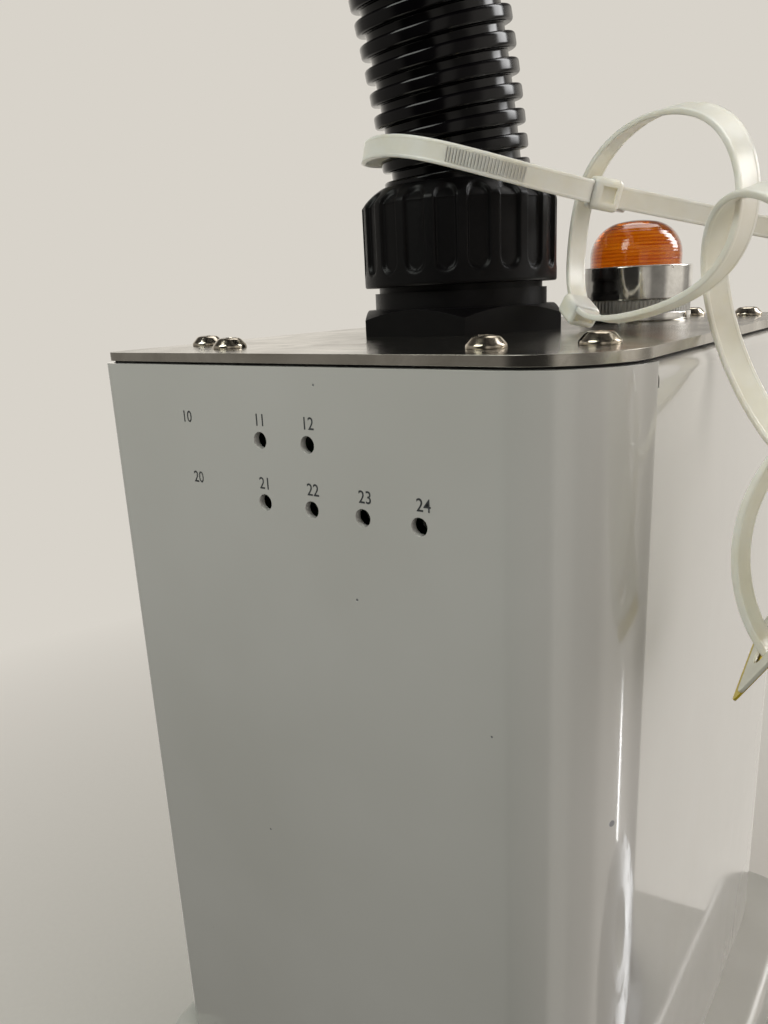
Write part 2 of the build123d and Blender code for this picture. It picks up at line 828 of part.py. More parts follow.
with BuildPart() as gland_locknut:
    with BuildSketch(gland_plane.offset(-plate_thickness)):
        RegularPolygon(locknut_hex / 2, 6, major_radius=False)
        Circle(gland_thread / 2 + thread_clearance, mode=Mode.SUBTRACT)
    extrude(amount=-locknut_height)
gland_locknut.part.label = "gland_locknut"
export_step(gland_locknut.part, "parts/gland_locknut.step")

with BuildPart() as gland_clamp_ring:
    add(clamp_ring_shape(gland_plane))
gland_clamp_ring.part.label = "gland_clamp_ring"
export_step(gland_clamp_ring.part, "parts/gland_clamp_ring.step")

with BuildPart() as gland_dome_nut:
    add(dome_nut_shape(gland_plane))
gland_dome_nut.part.label = "gland_dome_nut"
export_step(gland_dome_nut.part, "parts/gland_dome_nut.step")

# corrugated duct: leaves the nut's mouth at a slant, bends over and ends in a fitting like the lower one
mouth = Vector(gland_x, gland_y, plate_top + nut_face)
bend_way = Vector(cos(radians(duct_bend_turn)), sin(radians(duct_bend_turn)), 0)
bend_side = Vector(bend_way.Y, -bend_way.X, 0)
start_lean = radians(duct_lean)
bend_centre = mouth + bend_way * (duct_bend * cos(start_lean)) - Vector(0, 0, duct_bend * sin(start_lean))


def duct_plane(along):
    # plane across the duct, at a length along its bend from the nut's mouth
    lean = start_lean + along / duct_bend
    place = bend_centre - bend_way * (duct_bend * cos(lean)) + Vector(0, 0, duct_bend * sin(lean))
    return Plane(origin=place, x_dir=bend_side, z_dir=bend_way * sin(lean) + Vector(0, 0, cos(lean)))


end_of_duct = duct_plane(duct_exposed)
end_origin = end_of_duct.origin + end_of_duct.z_dir * nut_face
end_plane = Plane(origin=end_origin, x_dir=end_of_duct.x_dir, z_dir=-end_of_duct.z_dir)
duct_low = -duct_seat - 2 * duct_spare
duct_high = duct_exposed + duct_seat + duct_spare
ridges_below = int((duct_first_ridge - duct_low - duct_ridge / 2) // duct_pitch)
ridges_above = int((duct_high - duct_first_ridge - duct_ridge / 2) // duct_pitch)
with BuildPart() as duct:
    with BuildSketch(duct_plane(duct_low)):
        Circle(duct_groove / 2)
    revolve(axis=Axis(bend_centre, -bend_side), revolution_arc=(duct_high - duct_low) / duct_bend * 180 / pi)
    for ridge in range(-ridges_below, ridges_above + 1):
        ridge_middle = duct_first_ridge + ridge * duct_pitch
        with BuildSketch(duct_plane(ridge_middle - duct_ridge / 2)):
            Circle(duct_diameter / 2)
        revolve(axis=Axis(bend_centre, -bend_side), revolution_arc=duct_ridge / duct_bend * 180 / pi)
    # cut level where it stands on the lower clamp ring, and square at the upper one
    split(bisect_by=Plane.XY.offset(duct_seat_height), keep=Keep.TOP)
    split(bisect_by=end_plane.offset(body_top + clamp_ring_height), keep=Keep.TOP)
duct.part.label = "duct"
export_step(duct.part, "parts/duct.step")

with BuildPart() as duct_end_nut:
    add(dome_nut_shape(end_plane))
duct_end_nut.part.label = "duct_end_nut"
export_step(duct_end_nut.part, "parts/duct_end_nut.step")

with BuildPart() as duct_end_clamp_ring:
    add(clamp_ring_shape(end_plane))
duct_end_clamp_ring.part.label = "duct_end_clamp_ring"
export_step(duct_end_clamp_ring.part, "parts/duct_end_clamp_ring.step")

with BuildPart() as duct_end_body:
    add(gland_body_shape(end_plane))
duct_end_body.part.label = "duct_end_body"
export_step(duct_end_body.part, "parts/duct_end_body.step")

with BuildPart() as duct_end_seal:
    with BuildSketch(end_plane.offset(end_seal_recess - gland_thread_length)):
        Circle(gland_bore / 2)
    extrude(amount=end_seal_height)
duct_end_seal.part.label = "duct_end_seal"
export_step(duct_end_seal.part, "parts/duct_end_seal.step")

# amber lamp: chromed base and bezel round a ribbed lens, held by a nut under the plate
lamp_plane = Plane(origin=(lamp_x, lamp_y, plate_top), x_dir=(1, 0, 0), z_dir=(0, 0, 1))
lamp_turning = half_plane(lamp_plane)
lamp_axis = Axis(lamp_plane.origin, lamp_plane.z_dir)
ring_top = lamp_base_height + lamp_ring_height
bezel_top = ring_top + lamp_bezel_height
lens_seat = bezel_top - lamp_lens_seat
with BuildPart() as lamp_body:
    with BuildSketch(lamp_turning):
        with BuildLine():
            Polyline(
                (0, -lamp_thread_length),
                (lamp_thread / 2, -lamp_thread_length),
                (lamp_thread / 2, 0),
                (lamp_base_diameter / 2, 0),
                (lamp_base_diameter / 2, lamp_base_height),
                (lamp_thread / 2, lamp_base_height),
                (lamp_thread / 2, lens_seat),
                (0, lens_seat),
                close=True,
            )
        make_face()
    revolve(axis=lamp_axis)
lamp_body.part.label = "lamp_body"
export_step(lamp_body.part, "parts/lamp_body.step")

with BuildPart() as lamp_knurled_ring:
    with BuildSketch(lamp_plane.offset(lamp_base_height)):
        Circle(lamp_ring_diameter / 2)
        Circle(lamp_thread / 2 + lamp_fit, mode=Mode.SUBTRACT)
    extrude(amount=lamp_ring_height)
lamp_knurled_ring.part.label = "lamp_knurled_ring"
export_step(lamp_knurled_ring.part, "parts/lamp_knurled_ring.step")

with BuildPart() as lamp_bezel:
    with BuildSketch(lamp_turning):
        with BuildLine():
            Polyline(
                (lamp_thread / 2 + lamp_fit, ring_top),
                (lamp_bezel_diameter / 2, ring_top),
                (lamp_bezel_diameter / 2, bezel_top),
                (lamp_bezel_bore / 2, bezel_top),
                (lamp_bezel_bore / 2, lens_seat),
                (lamp_thread / 2 + lamp_fit, lens_seat),
                close=True,
            )
        make_face()
    revolve(axis=lamp_axis)
    chamfer(lamp_bezel.edges().group_by(Axis.Z)[-1].sort_by(SortBy.LENGTH)[-1], 0.5)
lamp_bezel.part.label = "lamp_bezel"
export_step(lamp_bezel.part, "parts/lamp_bezel.step")

with BuildPart() as lamp_lens:
    with BuildSketch(lamp_turning):
        with BuildLine():
            wall = lamp_lens_diameter / 2
            lens_top = bezel_top + lamp_lens_height
            ribs_top = bezel_top + lamp_lens_ribs * lamp_lens_rib
            profile = [(0, lens_seat), (wall, lens_seat)]
            for rib in range(lamp_lens_ribs):
                foot = bezel_top + rib * lamp_lens_rib
                profile.append((wall, foot))
                profile.append((wall - lamp_lens_rib_depth, foot + lamp_lens_rib / 2))
            profile.append((wall, ribs_top))
            Polyline(*profile)
            RadiusArc((wall, ribs_top), (wall - lamp_lens_crown, lens_top), -lamp_lens_crown_arc)
            Polyline((wall - lamp_lens_crown, lens_top), (0, lens_top), (0, lens_seat))
        make_face()
    revolve(axis=lamp_axis)
lamp_lens.part.label = "lamp_lens"
export_step(lamp_lens.part, "parts/lamp_lens.step")

with BuildPart() as lamp_nut:
    with BuildSketch(lamp_plane.offset(-plate_thickness)):
        RegularPolygon(lamp_nut_hex / 2, 6, major_radius=False)
        Circle(lamp_thread / 2 + thread_clearance, mode=Mode.SUBTRACT)
    extrude(amount=-lamp_nut_height)
lamp_nut.part.label = "lamp_nut"
export_step(lamp_nut.part, "parts/lamp_nut.step")


def tie_loop(plane, long_radius, short_radius):
    # closed strap of a cable tie, as wide as the tie along the plane's normal
    half = tie_thickness / 2
    with BuildPart() as loop:
        with BuildSketch(plane):
            Ellipse(long_radius + half, short_radius + half)
            Ellipse(long_radius - half, short_radius - half, mode=Mode.SUBTRACT)
        extrude(amount=tie_width / 2, both=True)
    return loop.part


def strap_place(plane, long_radius, short_radius, turn):
    # point of the strap at a turn from the loop's long way
    place = plane.origin + plane.x_dir * (cos(radians(turn)) * long_radius)
    return place + plane.y_dir * (sin(radians(turn)) * short_radius)


def strap_plane(plane, long_radius, short_radius, turn):
    # plane at a point of the strap: local x runs along the strap, local y points into the loop
    along = plane.x_dir * (-sin(radians(turn)) * long_radius)
    along = along + plane.y_dir * (cos(radians(turn)) * short_radius)
    place = strap_place(plane, long_radius, short_radius, turn)
    return Plane(origin=place, x_dir=along.normalized(), z_dir=plane.z_dir)


def tie_plane(x, y, z, long_way, normal):
    # plane of a loop, placed from the middle of the tower's front at the cover's top edge
    return Plane(origin=(tower_front + x, y, cover_top + z), x_dir=long_way, z_dir=normal)


def tie_head(head):
    # locking head of a cable tie, standing outward on the strap
    with BuildPart() as block:
        with BuildSketch(head):
            with Locations((0, tie_thickness - tie_head_height / 2)):
                Rectangle(tie_head_length, tie_head_height)
        extrude(amount=tie_head_width / 2, both=True)
        fillet(block.edges().filter_by(Axis(head.origin, head.z_dir)), tie_head_edge)
    return block.part


def tie_tail(head, length, arc):
    # free end of the strap, which runs on from the head in a slack bend
    half = tie_thickness / 2
    with BuildPart() as tail:
        with BuildSketch(head):
            with BuildLine():
                RadiusArc((0, half), (length, half), arc)
                Line((length, half), (length, -half))
                RadiusArc((length, -half), (0, -half), -arc - tie_thickness)
                Line((0, -half), (0, half))
            make_face()
        extrude(amount=tie_width / 2, both=True)
    return tail.part


# upright ring standing beside the gland
ring_plane = tie_plane(ring_tie_x, ring_tie_y, ring_tie_z, (0.812, -0.570, -0.125), (-0.536, -0.816, 0.220))
with BuildPart() as ring_tie:
    add(tie_loop(ring_plane, ring_long, ring_short))
    add(tie_head(strap_plane(ring_plane, ring_long, ring_short, ring_head_turn)))
ring_tie.part.label = "ring_tie"
export_step(ring_tie.part, "parts/ring_tie.step")

# loose loop round the duct, with its head and tail to the front
duct_tie_plane = tie_plane(duct_tie_x, duct_tie_y, duct_tie_z, (0.722, 0.662, -0.209), (0.267, 0.013, 0.964))
duct_tie_head = Plane(
    origin=strap_place(duct_tie_plane, duct_tie_long, duct_tie_short, duct_tie_head_turn),
    x_dir=duct_tie_plane.x_dir,
    z_dir=duct_tie_plane.z_dir,
)
with BuildPart() as duct_tie:
    add(tie_loop(duct_tie_plane, duct_tie_long, duct_tie_short))
    add(tie_head(duct_tie_head))
    add(tie_tail(duct_tie_head, duct_tie_tail, duct_tie_tail_arc))
duct_tie.part.label = "duct_tie"
export_step(duct_tie.part, "parts/duct_tie.step")

# loop hung from the ring over the plate's front edge
front_way = (-0.55, 0.299, 0.78)
front_normal = (0.729, 0.627, 0.274)
front_tie_plane = tie_plane(front_tie_x, front_tie_y, front_tie_z, front_way, front_normal)
with BuildPart() as front_tie:
    add(tie_loop(front_tie_plane, front_tie_long, front_tie_short))
    add(tie_head(strap_plane(front_tie_plane, front_tie_long, front_tie_short, front_tie_head_turn)))
front_tie.part.label = "front_tie"
export_step(front_tie.part, "parts/front_tie.step")

# loop that carries the blank tag
tag_tie_plane = tie_plane(tag_tie_x, tag_tie_y, tag_tie_z, (0.043, 0.229, 0.973), (-0.057, 0.972, -0.226))
with BuildPart() as tag_tie:
    add(tie_loop(tag_tie_plane, tag_tie_long, tag_tie_short))
    add(tie_head(strap_plane(tag_tie_plane, tag_tie_long, tag_tie_short, tag_tie_head_turn)))
tag_tie.part.label = "tag_tie"
export_step(tag_tie.part, "parts/tag_tie.step")

tag_corner_place = Vector(tower_front + tag_x, tag_y, cover_top + tag_z)
tag_plane = Plane(origin=tag_corner_place, x_dir=(-0.021, 0.962, 0.271), z_dir=(0.871, 0.15, -0.467))
with BuildPart() as tag:
    with BuildSketch(tag_plane):
        with Locations((tag_width / 2, tag_length / 2)):
            RectangleRounded(tag_width, tag_length, tag_corner)
        with Locations((tag_hole_across, tag_hole_along)):
            Circle(tag_hole / 2, mode=Mode.SUBTRACT)
    extrude(amount=tag_thickness / 2, both=True)
tag.part.label = "tag"
export_step(tag.part, "parts/tag.step")
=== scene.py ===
import math
from math import cos, pi, radians, sin, tan

import bmesh
import bpy
from mathutils import Matrix, Vector


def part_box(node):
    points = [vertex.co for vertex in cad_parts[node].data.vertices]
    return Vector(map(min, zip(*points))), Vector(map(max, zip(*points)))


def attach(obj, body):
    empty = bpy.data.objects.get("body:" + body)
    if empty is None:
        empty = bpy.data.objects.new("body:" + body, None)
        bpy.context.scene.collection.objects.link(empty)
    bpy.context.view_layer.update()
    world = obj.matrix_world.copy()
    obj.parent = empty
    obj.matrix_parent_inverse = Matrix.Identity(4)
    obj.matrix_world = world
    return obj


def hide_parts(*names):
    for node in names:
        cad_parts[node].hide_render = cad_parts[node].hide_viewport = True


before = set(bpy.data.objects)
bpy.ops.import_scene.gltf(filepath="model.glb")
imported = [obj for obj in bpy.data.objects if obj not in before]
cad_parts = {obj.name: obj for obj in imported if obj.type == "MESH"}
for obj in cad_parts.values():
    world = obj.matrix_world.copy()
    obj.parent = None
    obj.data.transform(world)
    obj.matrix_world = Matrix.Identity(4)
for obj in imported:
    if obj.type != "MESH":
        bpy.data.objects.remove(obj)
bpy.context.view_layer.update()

# Sizes below are millimetres in the model's own frame, colours are the 0 to 255 values that are seen.
mm = 0.001
cornerGap = 2e-6    # metres: corners of a node's loose triangles that are nearer than this are one
seamGap = 0.01    # the same for repeated parts, before they are put in metres
print("frame loaded:", len(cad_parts), "nodes")


# colours, boxes, directions and objects
def rgb(*values):
    def flat(part):
        return part / 12.92 if part <= 0.04045 else ((part + 0.055) / 1.055) ** 2.4

    return (*(flat(value / 255) for value in values), 1.0)


def nodeBox(name):
    low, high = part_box(name)
    return Vector(low) / mm, Vector(high) / mm


def turnTo(up, across):
    # the turn that takes z to up, and x as near to across as that allows
    z = Vector(up).normalized()
    x = (Vector(across) - z * Vector(across).dot(z)).normalized()
    return Matrix((x, z.cross(x), z)).transposed()


def linked(name, data):
    thing = bpy.data.objects.new(name, data)
    bpy.context.scene.collection.objects.link(thing)
    return thing


# heights and faces that everything else is placed from
coverLow, coverHigh = nodeBox("tower_cover")
lampLow, lampHigh = nodeBox("lamp_body")
towerMiddle = Vector(((coverLow.x + coverHigh.x) / 2, 0, coverHigh.z))
plateTop = nodeBox("top_plate")[1].z
nearFace = coverLow.y


# camera at the photograph's place
cameraView = {
    "place": (35.04, -198.23, 390.82),
    "forward": (-0.58417, 0.76758, -0.26375),
    "right": (0.80247, 0.59492, -0.04598),
    "up": (-0.12161, 0.23851, 0.96349),
    "lens": 27.734,
    "sensor": 36.0,
    "near": 5.0,
    "far": 60000.0,
}


def makeCamera(view):
    data = bpy.data.cameras.new("photoCamera")
    data.sensor_fit = "AUTO"
    data.sensor_width = view["sensor"]
    data.lens = view["lens"]
    data.clip_start = view["near"] * mm
    data.clip_end = view["far"] * mm
    camera = linked("photoCamera", data)
    backward = [-part for part in view["forward"]]
    turn = Matrix((view["right"], view["up"], backward)).transposed().to_4x4()
    camera.matrix_world = Matrix.Translation(Vector(view["place"]) * mm) @ turn
    bpy.context.scene.camera = camera


makeCamera(cameraView)
print("camera placed")


# node graph helpers
def addNode(tree, kind, inputs=None, **settings):
    node = tree.nodes.new(kind)
    for key, value in settings.items():
        setattr(node, key, value)
    for key, value in (inputs or {}).items():
        if hasattr(value, "is_output"):
            tree.links.new(value, node.inputs[key])
        else:
            node.inputs[key].default_value = value
    return node


def newSurface(name, settings):
    surface = bpy.data.materials.new(name)
    surface.use_nodes = True
    shader = surface.node_tree.nodes["Principled BSDF"]
    for key, value in settings.items():
        shader.inputs[key].default_value = value
    return surface, surface.node_tree, shader


def objectPlace(tree, turn=(0, 0, 0), stretch=(1, 1, 1)):
    coordinates = addNode(tree, "ShaderNodeTexCoord").outputs["Object"]
    inputs = {"Vector": coordinates, "Rotation": turn, "Scale": stretch}
    return addNode(tree, "ShaderNodeMapping", inputs).outputs["Vector"]


def noise(tree, place, size, detail, rough, warp=0.0):
    # size is the width of one blotch in millimetres
    inputs = {"Vector": place, "Scale": 1 / (size * mm), "Detail": detail, "Roughness": rough}
    return addNode(tree, "ShaderNodeTexNoise", {**inputs, "Distortion": warp}).outputs["Fac"]


def cells(tree, place, pitch):
    # distance from the nearest of scattered points, as a share of the millimetres between them
    inputs = {"Vector": place, "Scale": 1 / (pitch * mm)}
    return addNode(tree, "ShaderNodeTexVoronoi", inputs, feature="F1").outputs["Distance"]


def ramp(tree, factor, stops):
    # brightness that follows rows of (position, value)
    node = addNode(tree, "ShaderNodeValToRGB", {"Fac": factor})
    elements = node.color_ramp.elements
    while len(elements) < len(stops):
        elements.new(0.5)
    for element, (position, value) in zip(elements, stops):
        element.position = position
        element.color = (value, value, value, 1)
    return node.outputs["Color"]


def remap(tree, factor, fromLow, fromHigh, toLow=0.0, toHigh=1.0):
    inputs = {"Value": factor, "From Min": fromLow, "From Max": fromHigh, "To Min": toLow, "To Max": toHigh}
    return addNode(tree, "ShaderNodeMapRange", inputs, clamp=True).outputs["Result"]


def maths(tree, operation, *values):
    return addNode(tree, "ShaderNodeMath", dict(enumerate(values)), operation=operation).outputs[0]


def weightedSum(tree, first, firstShare, second, secondShare):
    first = maths(tree, "MULTIPLY", first, firstShare)
    return maths(tree, "ADD", first, maths(tree, "MULTIPLY", second, secondShare))


def mixColour(tree, factor, first, second, blend="MIX"):
    # sockets 6 and 7 are the two colours
    inputs = {0: factor, 6: first, 7: second}
    return addNode(tree, "ShaderNodeMix", inputs, data_type="RGBA", blend_type=blend).outputs[2]


def mixShader(tree, factor, first, second):
    inputs = {0: factor, 1: first.outputs[0], 2: second.outputs[0]}
    return addNode(tree, "ShaderNodeMixShader", inputs)


def bump(tree, height, strength, depth, under=None):
    # depth is the full height of the relief in millimetres
    inputs = {"Height": height, "Strength": strength, "Distance": depth * mm}
    if under is not None:
        inputs["Normal"] = under
    return addNode(tree, "ShaderNodeBump", inputs).outputs["Normal"]


def nearSpot(tree, place, radius, soft):
    # 1 inside a small ball about a place, 0 outside it
    inputs = {0: addNode(tree, "ShaderNodeTexCoord").outputs["Object"], 1: Vector(place) * mm}
    away = addNode(tree, "ShaderNodeVectorMath", inputs, operation="DISTANCE").outputs["Value"]
    return remap(tree, away, (radius + soft) * mm, radius * mm)


def join(tree, shader, **sockets):
    names = {"colour": "Base Color", "roughness": "Roughness", "normal": "Normal"}
    for key, value in sockets.items():
        tree.links.new(value, shader.inputs[names[key]])


# Every finish gives its noises as (width in millimetres, detail, roughness, warp), its reliefs as
# (strength, millimetres) and its roughness as lowest and highest. A noise is mostly in the usual span.
usualSpan = (0.35, 0.65)


def twoTones(tree, factor, light, dark, span=usualSpan):
    return mixColour(tree, remap(tree, factor, *span), light, dark)


# paint of the tower cover: semi-gloss powder coat, with the chip and the specks that it has
coverPaint = {
    "shader": {"IOR": 1.5, "Coat Weight": 0.75, "Coat IOR": 1.65, "Coat Roughness": 0.035},
    "light": rgb(205, 204, 200),
    "dark": rgb(198, 197, 192),
    "blotch": (70.0, 3.0, 0.5),
    "roughness": (0.13, 0.21),
    "smear": (26.0, 5.0, 0.6, 0.4),
    "smearStretch": (1, 1, 0.35),
    "smearSpan": (0.35, 0.7),
    "peel": (1.6, 2.0, 0.5),
    "peelRelief": (0.6, 0.0035),
    # dust in the coat: a sparse scatter of darker grains
    "dust": rgb(112, 108, 100),
    "dustPitch": 9.0,
    "dustEdge": (0.018, 0.010),
    "dustShare": 0.5,
    # the chip, then the specks: x, y, z, radius and width of the soft edge
    "bare": rgb(122, 124, 128),
    "marks": (
        (-11.1, -70.0, 291.0, 0.55, 0.25),
        (-62.2, -81.0, 330.7, 0.22, 0.12),
        (-70.3, -81.0, 374.5, 0.18, 0.12),
        (-31.0, -81.0, 309.0, 0.16, 0.12),
        (-95.0, -81.0, 262.0, 0.2, 0.12),
    ),
    "markRelief": (1.0, 0.08),
}


def makeCoverPaint(look):
    surface, tree, shader = newSurface("coverPaint", look["shader"])
    place = objectPlace(tree)
    colour = twoTones(tree, noise(tree, place, *look["blotch"]), look["light"], look["dark"])
    dust = remap(tree, cells(tree, place, look["dustPitch"]), *look["dustEdge"], 0.0, look["dustShare"])
    colour = mixColour(tree, dust, colour, look["dust"])
    marks = 0.0
    for x, y, z, radius, soft in look["marks"]:
        marks = maths(tree, "MAXIMUM", marks, nearSpot(tree, (x, y, z), radius, soft))
    colour = mixColour(tree, marks, colour, look["bare"])
    smear = noise(tree, objectPlace(tree, stretch=look["smearStretch"]), *look["smear"])
    roughness = remap(tree, smear, *look["smearSpan"], *look["roughness"])
    relief = bump(tree, noise(tree, place, *look["peel"]), *look["peelRelief"])
    relief = bump(tree, maths(tree, "SUBTRACT", 1.0, marks), *look["markRelief"], relief)
    join(tree, shader, colour=colour, roughness=roughness, normal=relief)
    return surface


# stainless plate: rolled grain along x, a haze and dried drips
plateSteel = {
    "shader": {"Metallic": 1.0, "Anisotropic": 0.35, "IOR": 2.5},
    "light": rgb(196, 192, 184),
    "dark": rgb(158, 153, 144),
    "haze": (24.0, 5.0, 0.62, 0.8),
    "hazeSpan": (0.3, 0.7),
    "roughness": (0.15, 0.27),
    "roughShares": (0.45, 0.55),
    "roughSpan": (0.35, 0.68),
    "grain": (0.16, 2.0, 0.6),
    "grainStretch": (0.02, 1, 1),
    "grainRelief": (0.35, 0.004),
    # a drip dries to a ring, at a share of the pitch from its middle
    "stain": rgb(122, 112, 98),
    "dripPitch": 17.0,
    "dripRing": 0.16,
    "dripEdge": 0.035,
    "dripShare": 0.35,
}


def makePlateSteel(look):
    surface, tree, shader = newSurface("plateSteel", look["shader"])
    place = objectPlace(tree)
    grain = noise(tree, objectPlace(tree, stretch=look["grainStretch"]), *look["grain"])
    haze = noise(tree, place, *look["haze"])
    colour = twoTones(tree, haze, look["light"], look["dark"], look["hazeSpan"])
    drips = cells(tree, place, look["dripPitch"])
    away = maths(tree, "ABSOLUTE", maths(tree, "SUBTRACT", drips, look["dripRing"]))
    rings = remap(tree, away, look["dripEdge"], 0.0, 0.0, look["dripShare"])
    colour = mixColour(tree, maths(tree, "MULTIPLY", rings, haze), colour, look["stain"])
    grainShare, hazeShare = look["roughShares"]
    wear = weightedSum(tree, grain, grainShare, haze, hazeShare)
    roughness = remap(tree, wear, *look["roughSpan"], *look["roughness"])
    join(tree, shader, colour=colour, roughness=roughness, normal=bump(tree, grain, *look["grainRelief"]))
    return surface


# amber lens: clear coloured plastic, a little cloudy, with fine level ribs inside; the ribs are a real
# relief, and their bands in the colour are painted rib shading
amberLens = {
    "shader": {"IOR": 1.49, "Transmission Weight": 0.7, "Coat Weight": 0.4, "Coat Roughness": 0.04},
    "light": rgb(248, 146, 24),
    "deep": rgb(196, 74, 3),
    "cloud": (6.0, 3.0, 0.6),
    "roughness": (0.04, 0.1),
    "streak": (4.0, 3.0, 0.6),
    "streakStretch": (0.25, 0.25, 4),
    "streakShade": (0.1, 0.9),
    "rib": 0.95,
    "ribSpan": (0.35, 0.6, 0.2, 1.0),
    "ribShadeShare": 0.5,
    "ribRelief": (0.5, 0.05),
}


def makeAmber(look):
    surface, tree, shader = newSurface("amberLens", look["shader"])
    place = objectPlace(tree)
    cloud = noise(tree, place, *look["cloud"])
    streak = noise(tree, objectPlace(tree, stretch=look["streakStretch"]), *look["streak"])
    level = addNode(tree, "ShaderNodeSeparateXYZ", {0: place}).outputs["Z"]
    wave = maths(tree, "SINE", maths(tree, "MULTIPLY", level, 2 * pi / (look["rib"] * mm)))
    # the rib wave is the bump's relief, and added to the colour it paints darker and lighter bands of rib
    # shading
    ribReliefAndShade = maths(tree, "MULTIPLY", wave, remap(tree, streak, *look["ribSpan"]))
    shade = remap(tree, streak, *usualSpan, *look["streakShade"])
    shade = weightedSum(tree, shade, 1.0, ribReliefAndShade, look["ribShadeShare"])
    colour = twoTones(tree, shade, look["light"], look["deep"], (0.0, 1.0))
    roughness = remap(tree, cloud, *usualSpan, *look["roughness"])
    join(tree, shader, colour=colour, roughness=roughness, normal=bump(tree, ribReliefAndShade, *look["ribRelief"]))
    return surface


# circuit board behind the holes
boardGreen = {
    "shader": {"IOR": 1.5, "Coat Weight": 0.2},
    "mask": rgb(18, 62, 36),
    "track": rgb(34, 92, 52),
    "pitch": 10.16,
    "trackWidth": 0.03,
    "trackRelief": (0.4, 0.03),
    "grain": (0.8, 3.0, 0.6),
    "roughness": (0.3, 0.42),
}


def makeBoard(look):
    surface, tree, shader = newSurface("boardGreen", look["shader"])
    flat = objectPlace(tree, turn=(pi / 2, 0, 0))
    inputs = {"Vector": flat, "Scale": 1 / (look["pitch"] * mm), "Mortar Size": look["trackWidth"]}
    tracks = addNode(tree, "ShaderNodeTexBrick", inputs, offset=0.5).outputs["Fac"]
    colour = mixColour(tree, tracks, look["mask"], look["track"])
    grain = noise(tree, objectPlace(tree), *look["grain"])
    roughness = remap(tree, grain, *usualSpan, *look["roughness"])
    join(tree, shader, colour=colour, roughness=roughness, normal=bump(tree, tracks, *look["trackRelief"]))
    return surface


# The other finishes share one recipe: two tones in soft patches, a fine grain that may be turned and
# stretched, and a roughness that follows the patches and the grain, the grain by its share.
finishKinds = {
    # sand cast skin under paint
    "cast": {
        "shader": {"IOR": 1.5, "Coat Weight": 0.12, "Coat Roughness": 0.2},
        "patch": (55.0, 4.0, 0.55),
        "toneSpan": (0.35, 0.7),
        "roughSpan": (0.3, 0.7),
        "grain": (4.0, 0.6),
        "grainShare": 0.0,
        "relief": 0.5,
    },
    # tarnish and fine scratches
    "metal": {
        "shader": {"Metallic": 1.0, "IOR": 2.5},
        "patch": (5.0, 4.0, 0.6),
        "toneSpan": (0.35, 0.7),
        "lay": ((0.3, 0.5, 0.8), (0.15, 1, 1)),
        "grain": (3.0, 0.6),
        "grainShare": 0.5,
        "relief": 0.4,
    },
    # plastic and rubber from a mould
    "moulded": {
        "shader": {"IOR": 1.5},
        "patch": (8.0, 4.0, 0.6),
        "grain": (3.0, 0.55),
        "grainShare": 0.5,
        "relief": 0.5,
    },
    # natural nylon: milky, light goes into it
    "milky": {
        "shader": {
            "IOR": 1.53,
            "Subsurface Weight": 0.8,
            "Subsurface Scale": 2.4 * mm,
            "Subsurface Radius": (1.0, 0.95, 0.86),
        },
        "patch": (9.0, 4.0, 0.55),
        "lay": ((0, 0, 0), (0.4, 0.4, 1)),
        "grain": (3.0, 0.55),
        "grainShare": 1.0,
        "relief": 0.12,
    },
    # film over card
    "card": {
        "shader": {"IOR": 1.5, "Coat Weight": 0.3, "Coat Roughness": 0.12},
        "patch": (12.0, 3.0, 0.55),
        "toneSpan": (0.3, 0.7),
        "grain": (5.0, 0.65),
        "grainShare": 1.0,
        "relief": 0.4,
    },
    # half clear plastic; only the status LEDs use it, and their dark tones are painted shade
    "halfClear": {
        "shader": {"IOR": 1.55, "Transmission Weight": 0.35},
        "patch": (1.4, 3.0, 0.6),
        "grain": (3.0, 0.6),
        "grainShare": 1.0,
        "relief": 0.2,
    },
}
